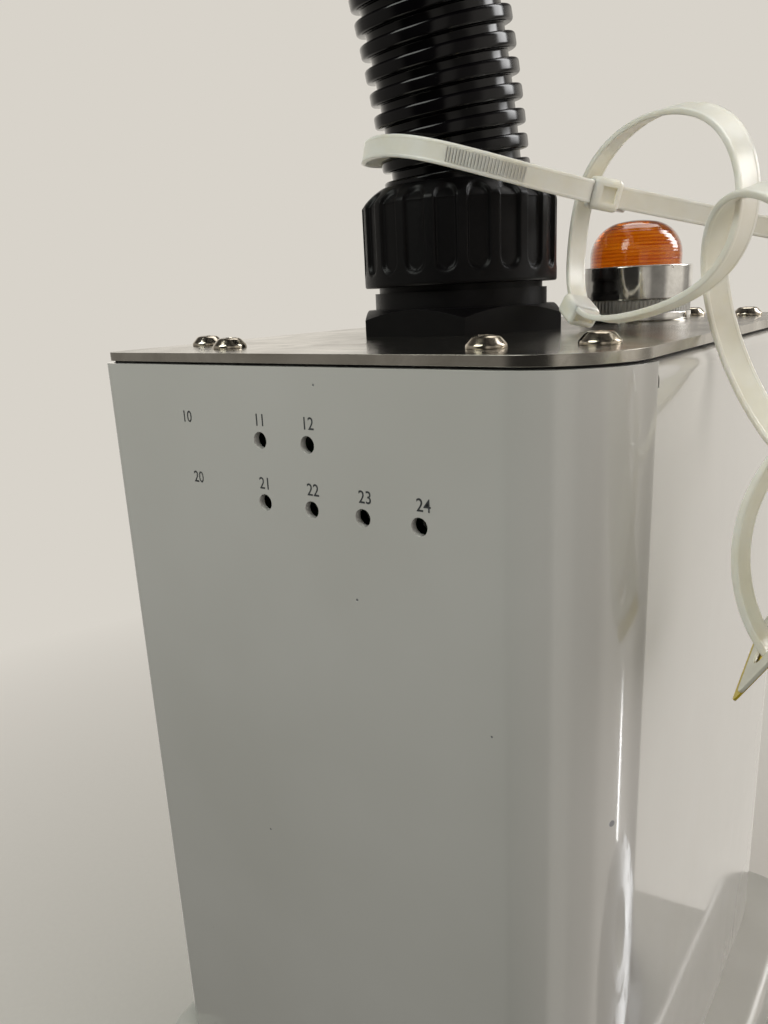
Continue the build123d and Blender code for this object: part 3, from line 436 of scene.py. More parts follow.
# each row: kind, light and dark tone, roughness, width and depth of the grain, and maybe shine and scuffs
finishes = {
    "castPaint": ("cast", rgb(208, 207, 201), rgb(194, 193, 186), (0.30, 0.44), 2.4, 0.05),
    "screwNickel": ("metal", rgb(214, 206, 192), rgb(172, 161, 144), (0.10, 0.24), 0.5, 0.006),
    "lampChrome": ("metal", rgb(226, 224, 220), rgb(196, 194, 190), (0.06, 0.16), 0.9, 0.002),
    "lampKnurl": ("metal", rgb(222, 220, 216), rgb(196, 194, 190), (0.34, 0.46), 0.6, 0.003),
    "bearingSteel": ("metal", rgb(176, 177, 178), rgb(138, 139, 141), (0.22, 0.36), 0.35, 0.006),
    "blackOxide": ("metal", rgb(58, 57, 56), rgb(38, 37, 37), (0.32, 0.5), 0.5, 0.006),
    "studBrass": ("metal", rgb(208, 178, 112), rgb(160, 128, 72), (0.22, 0.38), 0.5, 0.006),
    "glandNylon": ("moulded", rgb(12, 11, 12), rgb(6, 5, 6), (0.34, 0.48), 0.7, 0.012, 0.16, 0.03),
    "ductNylon": ("moulded", rgb(9, 8, 10), rgb(4, 3, 5), (0.1, 0.19), 1.4, 0.008, 0.28, 0.05),
    "sealRubber": ("moulded", rgb(48, 47, 46), rgb(32, 31, 31), (0.62, 0.8), 0.6, 0.02, 0.3, 0.1),
    "connectorBlack": ("moulded", rgb(44, 44, 46), rgb(30, 30, 31), (0.4, 0.58), 0.5, 0.015, 0.4, 0.15),
    "printInk": ("moulded", rgb(74, 76, 78), rgb(60, 62, 64), (0.35, 0.5), 0.4, 0.001, 0.3),
    "tieNylon": ("milky", rgb(249, 244, 231), rgb(242, 236, 219), (0.28, 0.35), 2.0, 0.01),
    "tagCard": ("card", rgb(230, 228, 214), rgb(216, 213, 198), (0.32, 0.46), 1.2, 0.01),
    "tagBand": ("card", rgb(214, 190, 30), rgb(190, 164, 18), (0.34, 0.48), 1.2, 0.01),
    # status LEDs: the dark tones are painted shade, standing in for the shade inside the indicator holes
    "ledPaintedHoleShade": ("halfClear", rgb(86, 88, 82), rgb(52, 54, 50), (0.1, 0.24), 1.4, 0.01),
}
# light scuffs where a moulded part has been handled
scuffs = {
    "noise": (1.1, 5.0, 0.7),
    "lay": ((0.4, 0.9, 0.2), (0.2, 1, 1)),
    "span": (0.66, 0.78),
    "colour": rgb(96, 94, 92),
}


def makeFinish(name, kind, light, dark, roughness, grainWidth, depth, shine=0.5, scuffed=0.0):
    look = finishKinds[kind]
    surface, tree, shader = newSurface(name, {"Specular IOR Level": shine, **look["shader"]})
    patch = noise(tree, objectPlace(tree), *look["patch"])
    grain = noise(tree, objectPlace(tree, *look.get("lay", ())), grainWidth, *look["grain"])
    colour = twoTones(tree, patch, light, dark, look.get("toneSpan", usualSpan))
    if scuffed:
        lines = noise(tree, objectPlace(tree, *scuffs["lay"]), *scuffs["noise"])
        shown = remap(tree, lines, *scuffs["span"], 0.0, scuffed)
        colour = mixColour(tree, shown, colour, scuffs["colour"])
    share = look["grainShare"]
    wear = weightedSum(tree, patch, 1 - share, grain, share)
    rough = remap(tree, wear, *look.get("roughSpan", usualSpan), *roughness)
    join(tree, shader, colour=colour, roughness=rough, normal=bump(tree, grain, look["relief"], depth))
    return surface


surfaces = {name: makeFinish(name, *row) for name, row in finishes.items()}
surfaces["coverPaint"] = makeCoverPaint(coverPaint)
surfaces["plateSteel"] = makePlateSteel(plateSteel)
surfaces["amberLens"] = makeAmber(amberLens)
surfaces["boardGreen"] = makeBoard(boardGreen)
print("surfaces made")


# mesh helpers
cutPast = 1.0    # how far a cutter reaches beyond what it cuts
straightAngle = 87    # a corner whose half angle is over this many degrees is as good as straight
cornerShare = 0.48    # the most of a side that one rounded corner may take


def rounded(points, radius, closed=False, steps=4):
    # profile with its corners rounded; a point may carry its own radius as a third number
    out = []
    count = len(points)
    for index, point in enumerate(points):
        own = point[2] if len(point) > 2 else radius
        here = Vector(point[:2])
        if own <= 0 or (not closed and index in (0, count - 1)):
            out.append(tuple(here))
            continue
        before = Vector(points[index - 1][:2]) - here
        after = Vector(points[(index + 1) % count][:2]) - here
        half = before.angle(after) / 2
        if half > radians(straightAngle):
            out.append(tuple(here))
            continue
        reach = min(own / tan(half), before.length * cornerShare, after.length * cornerShare)
        start = here + before.normalized() * reach
        end = here + after.normalized() * reach
        for step in range(steps + 1):
            part = step / steps
            out.append(tuple(start * (1 - part) ** 2 + here * (2 * part * (1 - part)) + end * part ** 2))
    return out


def addRing(build, radius, height, angles):
    return [build.verts.new((radius * cos(angle), radius * sin(angle), height)) for angle in angles]


def addSkin(build, rings, endless=False, whole=True):
    # faces between neighbouring rings of points; a ring of one point is a pole
    # endless joins the last ring to the first, and whole closes each ring
    for lower, upper in zip(rings, rings[1:] + (rings[:1] if endless else [])):
        count = max(len(lower), len(upper))
        for column in range(count if whole else count - 1):
            following = (column + 1) % count
            corners = ((lower, column), (lower, following), (upper, following), (upper, column))
            build.faces.new(list(dict.fromkeys(ring[place % len(ring)] for ring, place in corners)))


def turned(profile, steps, closed=False):
    # (radius, height) profile turned about z; closed makes a ring, open runs from axis to axis
    build = bmesh.new()
    angles = [2 * pi * column / steps for column in range(steps)]
    rings = []
    for radius, height in profile:
        rings.append(addRing(build, radius, height, angles if radius > 0 else angles[:1]))
    addSkin(build, rings, endless=closed)
    return build


def sweptStrip(rows, closed=False):
    # rows of points round a section, joined along the way; open ends are capped
    build = bmesh.new()
    rings = [[build.verts.new(point) for point in row] for row in rows]
    addSkin(build, rings, endless=closed)
    if not closed:
        build.faces.new(rings[0][::-1])
        build.faces.new(rings[-1])
    return build


def block(low, high):
    build = bmesh.new()
    low, high = Vector(low), Vector(high)
    bmesh.ops.create_cube(build, size=1.0, matrix=Matrix.LocRotScale((low + high) / 2, None, high - low))
    return build


def easeEdges(build, edges, width, steps, **more):
    bmesh.ops.bevel(build, geom=edges, offset=width, segments=steps, profile=0.5, affect="EDGES", **more)


def toMesh(build, name, outward=True):
    if outward:
        bmesh.ops.recalc_face_normals(build, faces=build.faces)
    mesh = bpy.data.meshes.new(name)
    build.to_mesh(mesh)
    build.free()
    return mesh


def inMetres(mesh):
    mesh.transform(Matrix.Diagonal((mm, mm, mm, 1)))
    return mesh


def standOn(mesh, origin, up=(0, 0, 1), across=(1, 0, 0)):
    # moves a mesh made about z to its place, in metres from here on
    mesh.transform(Matrix.Translation(Vector(origin)) @ turnTo(up, across).to_4x4())
    return inMetres(mesh)


def smoothed(mesh, sharp=32):
    mesh.shade_smooth()
    mesh.set_sharp_from_angle(angle=radians(sharp))
    return mesh


def modified(mesh, kind, inputs=None, **settings):
    # plain mesh with the work of one modifier in it; a tree's inputs are set by socket identifier
    holder = linked("shape", mesh)
    modifier = holder.modifiers.new("work", kind)
    for key, value in settings.items():
        setattr(modifier, key, value)
    if inputs:
        for socket in modifier.node_group.interface.items_tree:
            if socket.in_out == "INPUT" and socket.name in inputs:
                modifier[socket.identifier] = inputs[socket.name]
    bpy.context.view_layer.update()
    graph = bpy.context.evaluated_depsgraph_get()
    shape = holder.evaluated_get(graph)
    result = bpy.data.meshes.new_from_object(shape, preserve_all_data_layers=True, depsgraph=graph)
    holder.modifiers.clear()
    bpy.data.objects.remove(holder)
    return result


def carved(mesh, cutter):
    # mesh with another cut out of it
    tool = linked("carvingTool", toMesh(cutter, "carvingTool"))
    result = modified(mesh, "BOOLEAN", object=tool, operation="DIFFERENCE", solver="EXACT")
    bpy.data.objects.remove(tool)
    return result


def joined(meshes):
    build = bmesh.new()
    for mesh in meshes:
        build.from_mesh(mesh)
    return toMesh(build, "joined", outward=False)


def mergedCopy(node):
    # a node's triangles with their shared corners joined
    build = bmesh.new()
    build.from_mesh(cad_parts[node].data)
    bmesh.ops.remove_doubles(build, verts=build.verts, dist=cornerGap)
    return build


def keepPiece(name, mesh, surfaceName, slotName, *nodes):
    piece = linked(name, mesh)
    mesh.materials.clear()
    mesh.materials.append(surfaces[surfaceName])
    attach(piece, "root")
    if nodes:
        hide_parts(*nodes)


# geometry trees for what repeats, each with named inputs
def newTree(name, inputs):
    tree = bpy.data.node_groups.new(name, "GeometryNodeTree")
    for title, kind in inputs.items():
        tree.interface.new_socket(title, in_out="INPUT", socket_type="NodeSocket" + kind)
    tree.interface.new_socket("Geometry", in_out="OUTPUT", socket_type="NodeSocketGeometry")
    return tree, addNode(tree, "NodeGroupInput").outputs


def copiesOn(tree, points, part, turn):
    inputs = {"Points": points, "Instance": part, "Rotation": turn}
    copies = addNode(tree, "GeometryNodeInstanceOnPoints", inputs).outputs[0]
    return addNode(tree, "GeometryNodeRealizeInstances", {"Geometry": copies}).outputs[0]


def endTree(tree, solid, surface):
    dressed = addNode(tree, "GeometryNodeSetMaterial", {"Geometry": solid, "Material": surface}).outputs[0]
    addNode(tree, "NodeGroupOutput", {"Geometry": dressed})
    return tree


def makeRepeatTree():
    # copies of one part, each turned about z or stepped along it from the last
    sockets = {"Part": "Geometry", "Copies": "Int", "Turn": "Float", "Step": "Float"}
    tree, given = newTree("repeatedPart", {**sockets, "Join Gap": "Float", "Surface": "Material"})
    index = addNode(tree, "GeometryNodeInputIndex").outputs[0]
    position, turn = (
        addNode(tree, "ShaderNodeCombineXYZ", {"Z": maths(tree, "MULTIPLY", index, given[title])}).outputs[0]
        for title in ("Step", "Turn")
    )
    inputs = {"Count": given["Copies"], "Position": position}
    points = addNode(tree, "GeometryNodePoints", inputs).outputs[0]
    inputs = {"Geometry": copiesOn(tree, points, given["Part"], turn), "Distance": given["Join Gap"]}
    closed = addNode(tree, "GeometryNodeMergeByDistance", inputs).outputs[0]
    return endTree(tree, closed, given["Surface"])


def makePlacedTree():
    # a part set at given places: the points carry the way each copy is turned
    tree, given = newTree("placedPart", {"Places": "Geometry", "Part": "Object", "Surface": "Material"})
    part = addNode(tree, "GeometryNodeObjectInfo", {"Object": given["Part"]}, transform_space="ORIGINAL")
    turn = addNode(tree, "GeometryNodeInputNamedAttribute", {"Name": "turn"}, data_type="FLOAT_VECTOR")
    solid = copiesOn(tree, given["Places"], part.outputs["Geometry"], turn.outputs["Attribute"])
    return endTree(tree, solid, given["Surface"])


repeatTree = makeRepeatTree()
placedTree = makePlacedTree()


def repeated(mesh, copies, surfaceName, turn=0.0, step=0.0):
    inputs = {"Copies": copies, "Turn": turn, "Step": step, "Join Gap": seamGap}
    return modified(mesh, "NODES", {**inputs, "Surface": surfaces[surfaceName]}, node_group=repeatTree)


def placed(partMesh, places, surfaceName):
    # places are (point, up, across); the part is made about z
    part = linked("placing", partMesh)
    points = bpy.data.meshes.new("places")
    points.from_pydata([point for point, up, across in places], [], [])
    turns = points.attributes.new("turn", "FLOAT_VECTOR", "POINT")
    for index, (point, up, across) in enumerate(places):
        turns.data[index].vector = turnTo(up, across).to_euler()
    inputs = {"Part": part, "Surface": surfaces[surfaceName]}
    result = modified(points, "NODES", inputs, node_group=placedTree)
    bpy.data.objects.remove(part)
    return result


# sheet, cast and moulded parts: the solids with their hard edges eased, in degrees and millimetres
easing = {"flat": 0.6, "hard": 28, "steps": 2, "sharp": 60}
# each row: node, width of its eased edges, finish, slot
easedParts = {
    "towerCover": ("tower_cover", 0.22, "coverPaint", "cover_paint"),
    "rearPanel": ("rear_panel", 0.25, "coverPaint", "cover_paint"),
    "topPlate": ("top_plate", 0.25, "plateSteel", "stainless"),
    "plateBrackets": ("plate_brackets", 0.15, "bearingSteel", "stainless"),
    "baseCasting": ("base_casting", 0.9, "castPaint", "casting_paint"),
    "shoulderBearingRing": ("shoulder_bearing_ring", 0.3, "bearingSteel", "bearing_steel"),
    "shoulderFlange": ("shoulder_flange", 0.3, "bearingSteel", "bearing_steel"),
    "glandBody": ("gland_body", 0.25, "glandNylon", "black_nylon"),
    "glandLocknut": ("gland_locknut", 0.3, "glandNylon", "black_nylon"),
    "ductEndBody": ("duct_end_body", 0.25, "glandNylon", "black_nylon"),
    "lampNut": ("lamp_nut", 0.3, "screwNickel", "nickel"),
    "powerConnector": ("power_connector", 0.25, "connectorBlack", "connector_black"),
    "signalConnector": ("signal_connector", 0.25, "connectorBlack", "connector_black"),
    "earthStud": ("earth_stud", 0.15, "studBrass", "brass"),
}
# solids whose shape is right as it is: a better finish in their slots
dressedNodes = {
    "shoulder_seal": "sealRubber",
    "plate_gasket": "sealRubber",
    "gland_clamp_ring": "sealRubber",
    "duct_end_clamp_ring": "sealRubber",
    "duct_end_seal": "sealRubber",
    "board_standoffs": "studBrass",
    "indicator_board": "boardGreen",
    # the dark LEDs carry the painted shade of the indicator holes
    "status_leds": "ledPaintedHoleShade",
}


def easedCopy(node, width):
    build = mergedCopy(node)
    flat, hard = radians(easing["flat"]), radians(easing["hard"])
    bmesh.ops.dissolve_limit(build, angle_limit=flat, verts=build.verts, edges=build.edges)
    edges = [edge for edge in build.edges if len(edge.link_faces) == 2 and edge.calc_face_angle(0) > hard]
    easeEdges(build, edges, width * mm, easing["steps"], clamp_overlap=True, loop_slide=True)
    mesh = smoothed(toMesh(build, node + "Eased", outward=False), easing["sharp"])
    # flat faces keep their shading next to eased edges
    return modified(mesh, "WEIGHTED_NORMAL", keep_sharp=True, weight=100)


for pieceName, (node, width, surfaceName, slotName) in easedParts.items():
    keepPiece(pieceName, easedCopy(node, width), surfaceName, slotName, node)
for node, surfaceName in dressedNodes.items():
    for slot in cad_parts[node].material_slots:
        slot.material = surfaces[surfaceName]
print("sheet, cast and moulded parts made")


# cross recessed pan head screw, and where the screws stand
panScrew = {
    "head": 8.0,
    "height": 2.5,
    "footRound": 0.15,
    "rim": 0.7,
    "rimRound": 1.3,
    "crown": 5.0,
    "crownDrop": 0.12,
    "crownRound": 1.6,
    "shank": 4.0,
    "tip": (0.4, 0.5),
    "around": 64,
    "roundSteps": 7,
    "sharp": 35,
    # the recess is one cross, narrower at its foot, and is measured a little above the head
    "recess": 4.4,
    "recessFoot": 1.8,
    "slot": 1.15,
    "slotFoot": 0.7,
    "depth": 1.4,
    "above": 0.5,
    # each cross is left at its own turn: the first, and what the next adds, in radians
    "firstTurn": 0.35,
    "nextTurn": 0.47,
}


def makePanScrew(size, length):
    half, shank, height = size["head"] / 2, size["shank"] / 2, size["height"]
    tipIn, tipUp = size["tip"]
    profile = [
        (0, -length),
        (shank - tipIn, -length),
        (shank, tipUp - length),
        (shank, 0),
        (half, 0, size["footRound"]),
        (half, size["rim"], size["rimRound"]),
        (size["crown"] / 2, height - size["crownDrop"], size["crownRound"]),
        (0, height),
    ]
    head = toMesh(turned(rounded(profile, 0, steps=size["roundSteps"]), size["around"]), "panHead")
    rows = []
    for z, reach, wide in (
        (height - size["depth"], size["recessFoot"] / 2, size["slotFoot"] / 2),
        (height + size["above"], size["recess"] / 2, size["slot"] / 2),
    ):
        arm = [Vector(corner) for corner in ((reach, -wide), (reach, wide), (wide, wide))]
        quarters = [Matrix.Rotation(quarter * pi / 2, 2) for quarter in range(4)]
        rows.append([(*(turn @ corner), z) for turn in quarters for corner in arm])
    return smoothed(carved(head, sweptStrip(rows)), size["sharp"])


def solidMiddles(node):
    # middles of the separate solids of a node, in order along x, y and z
    build = mergedCopy(node)
    unseen = set(build.verts)
    middles = []
    while unseen:
        waiting, island = [unseen.pop()], []
        while waiting:
            vert = waiting.pop()
            island.append(vert.co.copy())
            fresh = {edge.other_vert(vert) for edge in vert.link_edges} & unseen
            unseen -= fresh
            waiting += fresh
        middles.append(Vector([(min(places) + max(places)) / 2 for places in zip(*island)]) / mm)
    build.free()
    return sorted(middles, key=lambda middle: tuple(round(part, 1) for part in middle))


# each row: node, axis that its screws point along, face that they stand on, length of their shanks
screwRows = {
    "topPlateScrews": ("top_plate_screws", 2, plateTop, 8.5),
    "rearPanelScrews": ("rear_panel_screws", 0, nodeBox("rear_panel")[0].x, 3.5),
    "coverScrews": ("cover_screws", 1, nearFace, 5.0),
}
for pieceName, (node, axis, face, length) in screwRows.items():
    places = []
    for index, seat in enumerate(solidMiddles(node)):
        side = 1 if seat[axis] > 0 else -1
        seat[axis] = side * abs(face)
        up = Vector((0, 0, 0))
        up[axis] = side
        turn = panScrew["firstTurn"] + panScrew["nextTurn"] * index
        places.append((seat, up, Matrix.Rotation(turn, 3, up) @ up.orthogonal()))
    mesh = inMetres(placed(makePanScrew(panScrew, length), places, "screwNickel"))
    keepPiece(pieceName, mesh, "screwNickel", "nickel", node)
print("pan head screws made")


# socket head screws of the shoulder bearing's outer ring
socketScrew = {
    "head": 8.5,
    "height": 4.6,
    "edge": 0.5,
    "hexagon": 4.0,
    "depth": 2.4,
    "circle": 59.0,
    "count": 12,
    "nextTurn": 3.1,
    "around": 48,
    "sharp": 35,
}


def makeSocketScrews(size):
    half, height, wrench = size["head"] / 2, size["height"], size["hexagon"] / 2
    profile = rounded([(0, 0), (half, 0), (half, height, size["edge"]), (0, height)], 0)
    head = toMesh(turned(profile, size["around"]), "socketHead")
    low, high = height - size["depth"], height + cutPast
    hexagon = turned([(0, low), (wrench, low), (wrench, high), (0, high)], 6)
    head = smoothed(carved(head, hexagon), size["sharp"])
    ringLow, ringHigh = nodeBox("shoulder_bearing_ring")
    middle = (ringLow + ringHigh) / 2
    middle.z = ringHigh.z
    places = []
    for index in range(size["count"]):
        turn = 2 * pi * index / size["count"]
        seat = middle + Vector((cos(turn), sin(turn), 0)) * size["circle"]
        own = size["nextTurn"] * index
        places.append((seat, (0, 0, 1), (cos(own), sin(own), 0)))
    keepPiece("bearingScrews", inMetres(placed(head, places, "blackOxide")), "blackOxide", "bearing_steel")


makeSocketScrews(socketScrew)
print("socket head screws made")


# dome nut of the cable gland: one flute and half a land each side, repeated round the axis
domeNut = {
    "diameter": 52.0,
    "height": 24.8,
    "foot": ((-0.5, 0.0), (-0.14, 0.12), (0.0, 0.5)),
    "shoulder": 20.7,
    "wallRows": 43,
    "wallEnd": 0.2,
    "topDiameter": 41.8,
    "bulge": 0.27,
    "domeRows": 16,
    "domeEase": 0.04,
    "mouth": 40.0,
    "mouthEdge": 1.2,
    "lip": 4.0,
    "bore": 46.0,
    "flutes": 20,
    "fluteWidth": 5.2,
    "fluteDepth": 1.0,
    "fluteStart": 3.4,
    "fluteEnd": 23.4,
    "fluteEdge": 0.34,
    "columns": (0, 0.55, 1.1, 1.6, 2.0, 2.3, 2.45, 2.55, 2.65, 2.75, 2.9, 3.2, 3.65),
    "turn": 3.0,
    "sharp": 50,
}


def fluteCut(size, across, height):
    # depth of the cut at a distance across from the flute's middle line, with round ends and eased edges
    half = size["fluteWidth"] / 2
    low, high = size["fluteStart"] + half, size["fluteEnd"] - half
    beyond = max(low - height, height - high, 0.0)
    away = math.hypot(across, beyond) - half
    share = min(max(0.5 - away / size["fluteEdge"] / 2, 0.0), 1.0)
    return size["fluteDepth"] * share * share * (3 - 2 * share)


def domeOutline(size):
    # outside of the nut from its foot to the mouth, close enough together for the flutes' round ends
    half, shoulder, wall, dome = size["diameter"] / 2, size["shoulder"], size["wallRows"], size["domeRows"]
    rows = [(half + out, up) for out, up in size["foot"]]
    foot = rows[-1][1]
    climb = shoulder - size["wallEnd"] - foot
    rows += [(half, foot + climb * step / wall) for step in range(1, wall + 1)]
    rise, draw = size["height"] - shoulder, half - size["topDiameter"] / 2
    slant = math.hypot(rise, draw)
    for step in range(1, dome + 1):
        part = step / dome
        out = 4 * size["bulge"] * part * (1 - part) / slant
        ease = size["domeEase"] if step == 1 else 0
        rows.append((half - draw * part + rise * out - ease, shoulder + rise * part + draw * out))
    return rows


def makeDomeNut(name, size, origin, up, across, node):
    sector = 2 * pi / size["flutes"]
    half, mouth, bore = size["diameter"] / 2, size["mouth"] / 2, size["bore"] / 2
    height, lip = size["height"], size["lip"]
    edge = sector * half / 2
    spread = [*(-place for place in reversed(size["columns"][1:])), *size["columns"]]
    angles = [place / half for place in (-edge, *spread, edge)]
    outside = domeOutline(size)
    build = bmesh.new()
    rows = []
    for index, (radius, z) in enumerate(outside):
        before = Vector(outside[max(index - 1, 0)])
        after = Vector(outside[min(index + 1, len(outside) - 1)])
        slope = (after - before).normalized()
        row = []
        for angle in angles:
            cut = fluteCut(size, radius * sin(angle), z)
            row += addRing(build, radius - cut * slope.y, z + cut * slope.x, [angle])
        rows.append(row)
    inside = (
        (mouth, height),
        (mouth, height - size["mouthEdge"]),
        (mouth, height - lip),
        (bore, height - lip),
        (bore, 0.0),
    )
    rows += [addRing(build, radius, z, angles) for radius, z in inside]
    addSkin(build, rows, endless=True, whole=False)
    mesh = repeated(toMesh(build, name, outward=False), size["flutes"], "glandNylon", turn=sector)
    facing = Matrix.Rotation(radians(size["turn"]), 3, Vector(up)) @ Vector(across)
    mesh = smoothed(standOn(mesh, origin, up, facing), size["sharp"])
    keepPiece(name, mesh, "glandNylon", "black_nylon", node)


# duct: where it bends and where its two nuts stand on it
ductBend = {
    "nutFoot": 12.4,
    "radius": 334.0,
    "wayTurn": -103.3,
    "lean": 8.2,
    "exposed": 60.0,
    "glandTurn": 3.0,
    "glandPlace": (-7.6, -4.2),
}
glandMiddle = Vector((towerMiddle.x + ductBend["glandPlace"][0], ductBend["glandPlace"][1], plateTop))
lowerFoot = glandMiddle + Vector((0, 0, ductBend["nutFoot"]))
nutMouth = lowerFoot + Vector((0, 0, domeNut["height"]))
bendWay = Vector((cos(radians(ductBend["wayTurn"])), sin(radians(ductBend["wayTurn"])), 0))
bendSide = Vector((bendWay.y, -bendWay.x, 0))


def alongDuct(length):
    # place and way of the duct at a length from the lower nut's mouth
    start = radians(ductBend["lean"])
    lean = start + length / ductBend["radius"]
    sideways = ductBend["radius"] * (cos(start) - cos(lean))
    rise = ductBend["radius"] * (sin(lean) - sin(start))
    place = nutMouth + bendWay * sideways + Vector((0, 0, rise))
    return place, bendWay * sin(lean) + Vector((0, 0, cos(lean)))


glandAcross = (cos(radians(ductBend["glandTurn"])), sin(radians(ductBend["glandTurn"])), 0)
makeDomeNut("glandDomeNut", domeNut, lowerFoot, (0, 0, 1), glandAcross, "gland_dome_nut")
ductEnd, endWay = alongDuct(ductBend["exposed"])
makeDomeNut("ductEndNut", domeNut, ductEnd + endWay * domeNut["height"], -endWay, bendSide, "duct_end_nut")
print("dome nuts made")


# corrugated duct: one groove and one ridge, repeated along it and bent
ductRidges = {
    "outer": 38.5,
    "groove": 34.0,
    "grooveRound": 0.35,
    "pitch": 5.56,
    "ridge": 3.7,
    "slope": 0.15,
    "edge": 1.0,
    "low": -6.52,
    "copies": 13,
    "around": 96,
    "roundSteps": 6,
    "sharp": 45,
}


def makeDuct(size):
    outer, inner, pitch = size["outer"] / 2, size["groove"] / 2, size["pitch"]
    edge, slope, wide = size["edge"], size["slope"], pitch - size["ridge"]
    profile = [
        (inner, 0.0),
        (inner, wide),
        (outer, wide + slope, edge),
        (outer, pitch - slope, edge),
        (inner, pitch),
    ]
    profile = rounded(profile, size["grooveRound"], steps=size["roundSteps"])
    ring = toMesh(turned(profile, size["around"]), "ductRidge", outward=False)
    build = bmesh.new()
    build.from_mesh(repeated(ring, size["copies"], "ductNylon", step=pitch))
    # the ends inside the nuts are closed level
    bmesh.ops.holes_fill(build, edges=[edge for edge in build.edges if edge.is_boundary], sides=0)
    for vert in build.verts:
        place, way = alongDuct(size["low"] + vert.co.z)
        vert.co = place + bendSide * vert.co.x + way.cross(bendSide) * vert.co.y
    mesh = smoothed(inMetres(toMesh(build, "ductWall")), size["sharp"])
    keepPiece("duct", mesh, "ductNylon", "duct_nylon", "duct")


makeDuct(ductRidges)
print("duct made")


# amber lamp: base, knurled ring, bezel and lens stacked on the plate
lamp = {
    "around": 128,
    "thread": 22.0,
    "threadLength": 24.0,
    "threadGap": 0.3,
    "tip": 0.8,
    "base": 31.8,
    "baseHeight": 2.4,
    "baseFoot": (0.2, 0.4, 0.2),
    "baseRound": 0.35,
    "ring": 31.4,
    "ringHeight": 3.6,
    "ringEdge": 0.3,
    "ringSharp": 30,
    "teeth": 88,
    "toothDepth": 0.35,
    # across one tooth: place as a share of its width, height as a share of its depth
    "tooth": ((-0.5, 1.0), (-0.28, 1.0), (-0.06, 0.0), (0.06, 0.0), (0.28, 1.0), (0.5, 1.0)),
    "bezel": 31.8,
    "bezelHeight": 9.2,
    "bezelBore": 26.3,
    "bezelRounds": (0.1, 0.3, 0.45, 0.3, 0.1, 0.1),
    "lens": 25.7,
    "lensHeight": 12.4,
    "lensSeat": 4.0,
    "straight": 3.0,
    "crown": 8.0,
    "crownArc": 9.55,
    "crownRise": 0.5,
    "arcSteps": 32,
    "topSteps": 8,
    "lensSharp": 60,
}


def makeLampBody(size, foot, seat):
    thread, base, length, tip = size["thread"] / 2, size["base"] / 2, size["threadLength"], size["tip"]
    footIn, footUp, footRound = size["baseFoot"]
    profile = [
        (0, -length),
        (thread - tip, -length),
        (thread, tip - length),
        (thread, 0),
        (base - footIn, 0),
        (base, footUp, footRound),
        (base, size["baseHeight"], size["baseRound"]),
        (thread, size["baseHeight"]),
        (thread, seat),
        (0, seat),
    ]
    mesh = standOn(toMesh(turned(rounded(profile, 0), size["around"]), "lampBody"), foot)
    keepPiece("lampBody", smoothed(mesh), "lampChrome", "lamp_chrome", "lamp_body")


def makeKnurl(size, foot, low, high):
    # one tooth, repeated
    outer, inner = size["ring"] / 2, size["thread"] / 2 + size["threadGap"]
    deep, edge, turn = size["toothDepth"], size["ringEdge"], 2 * pi / size["teeth"]
    sides = ((inner, low), (outer - deep, low), (outer, low + edge))
    levels = (*sides, *((radius, low + high - z) for radius, z in reversed(sides)))
    build = bmesh.new()
    rows = []
    for radius, z in levels:
        row = []
        for part, share in size["tooth"]:
            cut = deep * (1 - share) if radius == outer else 0
            row += addRing(build, radius - cut, z, [turn * part])
        rows.append(row)
    addSkin(build, rows, endless=True, whole=False)
    knurl = repeated(toMesh(build, "knurl", outward=False), size["teeth"], "lampKnurl", turn=turn)
    knurl = smoothed(standOn(knurl, foot), size["ringSharp"])
    keepPiece("lampKnurledRing", knurl, "lampKnurl", "lamp_chrome", "lamp_knurled_ring")


def makeBezel(size, foot, low, high, seat):
    rim, bore, inner = size["bezel"] / 2, size["bezelBore"] / 2, size["thread"] / 2 + size["threadGap"]
    corners = ((inner, low), (rim, low), (rim, high), (bore, high), (bore, seat), (inner, seat))
    profile = [(*corner, radius) for corner, radius in zip(corners, size["bezelRounds"])]
    mesh = toMesh(turned(rounded(profile, 0, closed=True), size["around"], closed=True), "lampBezel")
    keepPiece("lampBezel", smoothed(standOn(mesh, foot)), "lampChrome", "lamp_chrome", "lamp_bezel")


def makeLens(size, foot, seat, rim):
    wall, crown, arc = size["lens"] / 2, size["lens"] / 2 - size["crown"], size["crownArc"]
    start, top, steps = rim + size["straight"], rim + size["lensHeight"], size["topSteps"]
    shoulder = Vector((wall, start))
    chord = Vector((crown, top)) - shoulder
    # middle of the arc, on the inner side of its chord
    inward = Vector((-chord.y, chord.x)).normalized()
    centre = shoulder + chord / 2 + inward * math.sqrt(arc ** 2 - (chord.length / 2) ** 2)
    first = math.atan2(start - centre.y, wall - centre.x)
    last = math.atan2(top - centre.y, crown - centre.x)
    profile = [(0, seat), (wall, seat), (wall, rim)]
    for step in range(size["arcSteps"] + 1):
        turn = first + (last - first) * step / size["arcSteps"]
        profile.append((centre.x + arc * cos(turn), centre.y + arc * sin(turn)))
    # the top is nearly level, a little fuller in the middle
    for step in range(1, steps):
        part = step / steps
        profile.append((crown * (1 - part), top + size["crownRise"] * sin(part * pi / 2)))
    profile.append((0, top + size["crownRise"]))
    mesh = standOn(toMesh(turned(profile, size["around"]), "lampLens"), foot)
    keepPiece("lampLens", smoothed(mesh, size["lensSharp"]), "amberLens", "lamp_amber", "lamp_lens")


def makeLamp(size):
    foot = (lampLow + lampHigh) / 2
    foot.z = plateTop
    ringTop = size["baseHeight"] + size["ringHeight"]
    bezelTop = ringTop + size["bezelHeight"]
    seat = bezelTop - size["lensSeat"]
    makeLampBody(size, foot, seat)
    makeKnurl(size, foot, size["baseHeight"], ringTop)
    makeBezel(size, foot, ringTop, bezelTop, seat)
    makeLens(size, foot, seat, bezelTop)


makeLamp(lamp)
print("lamp made")


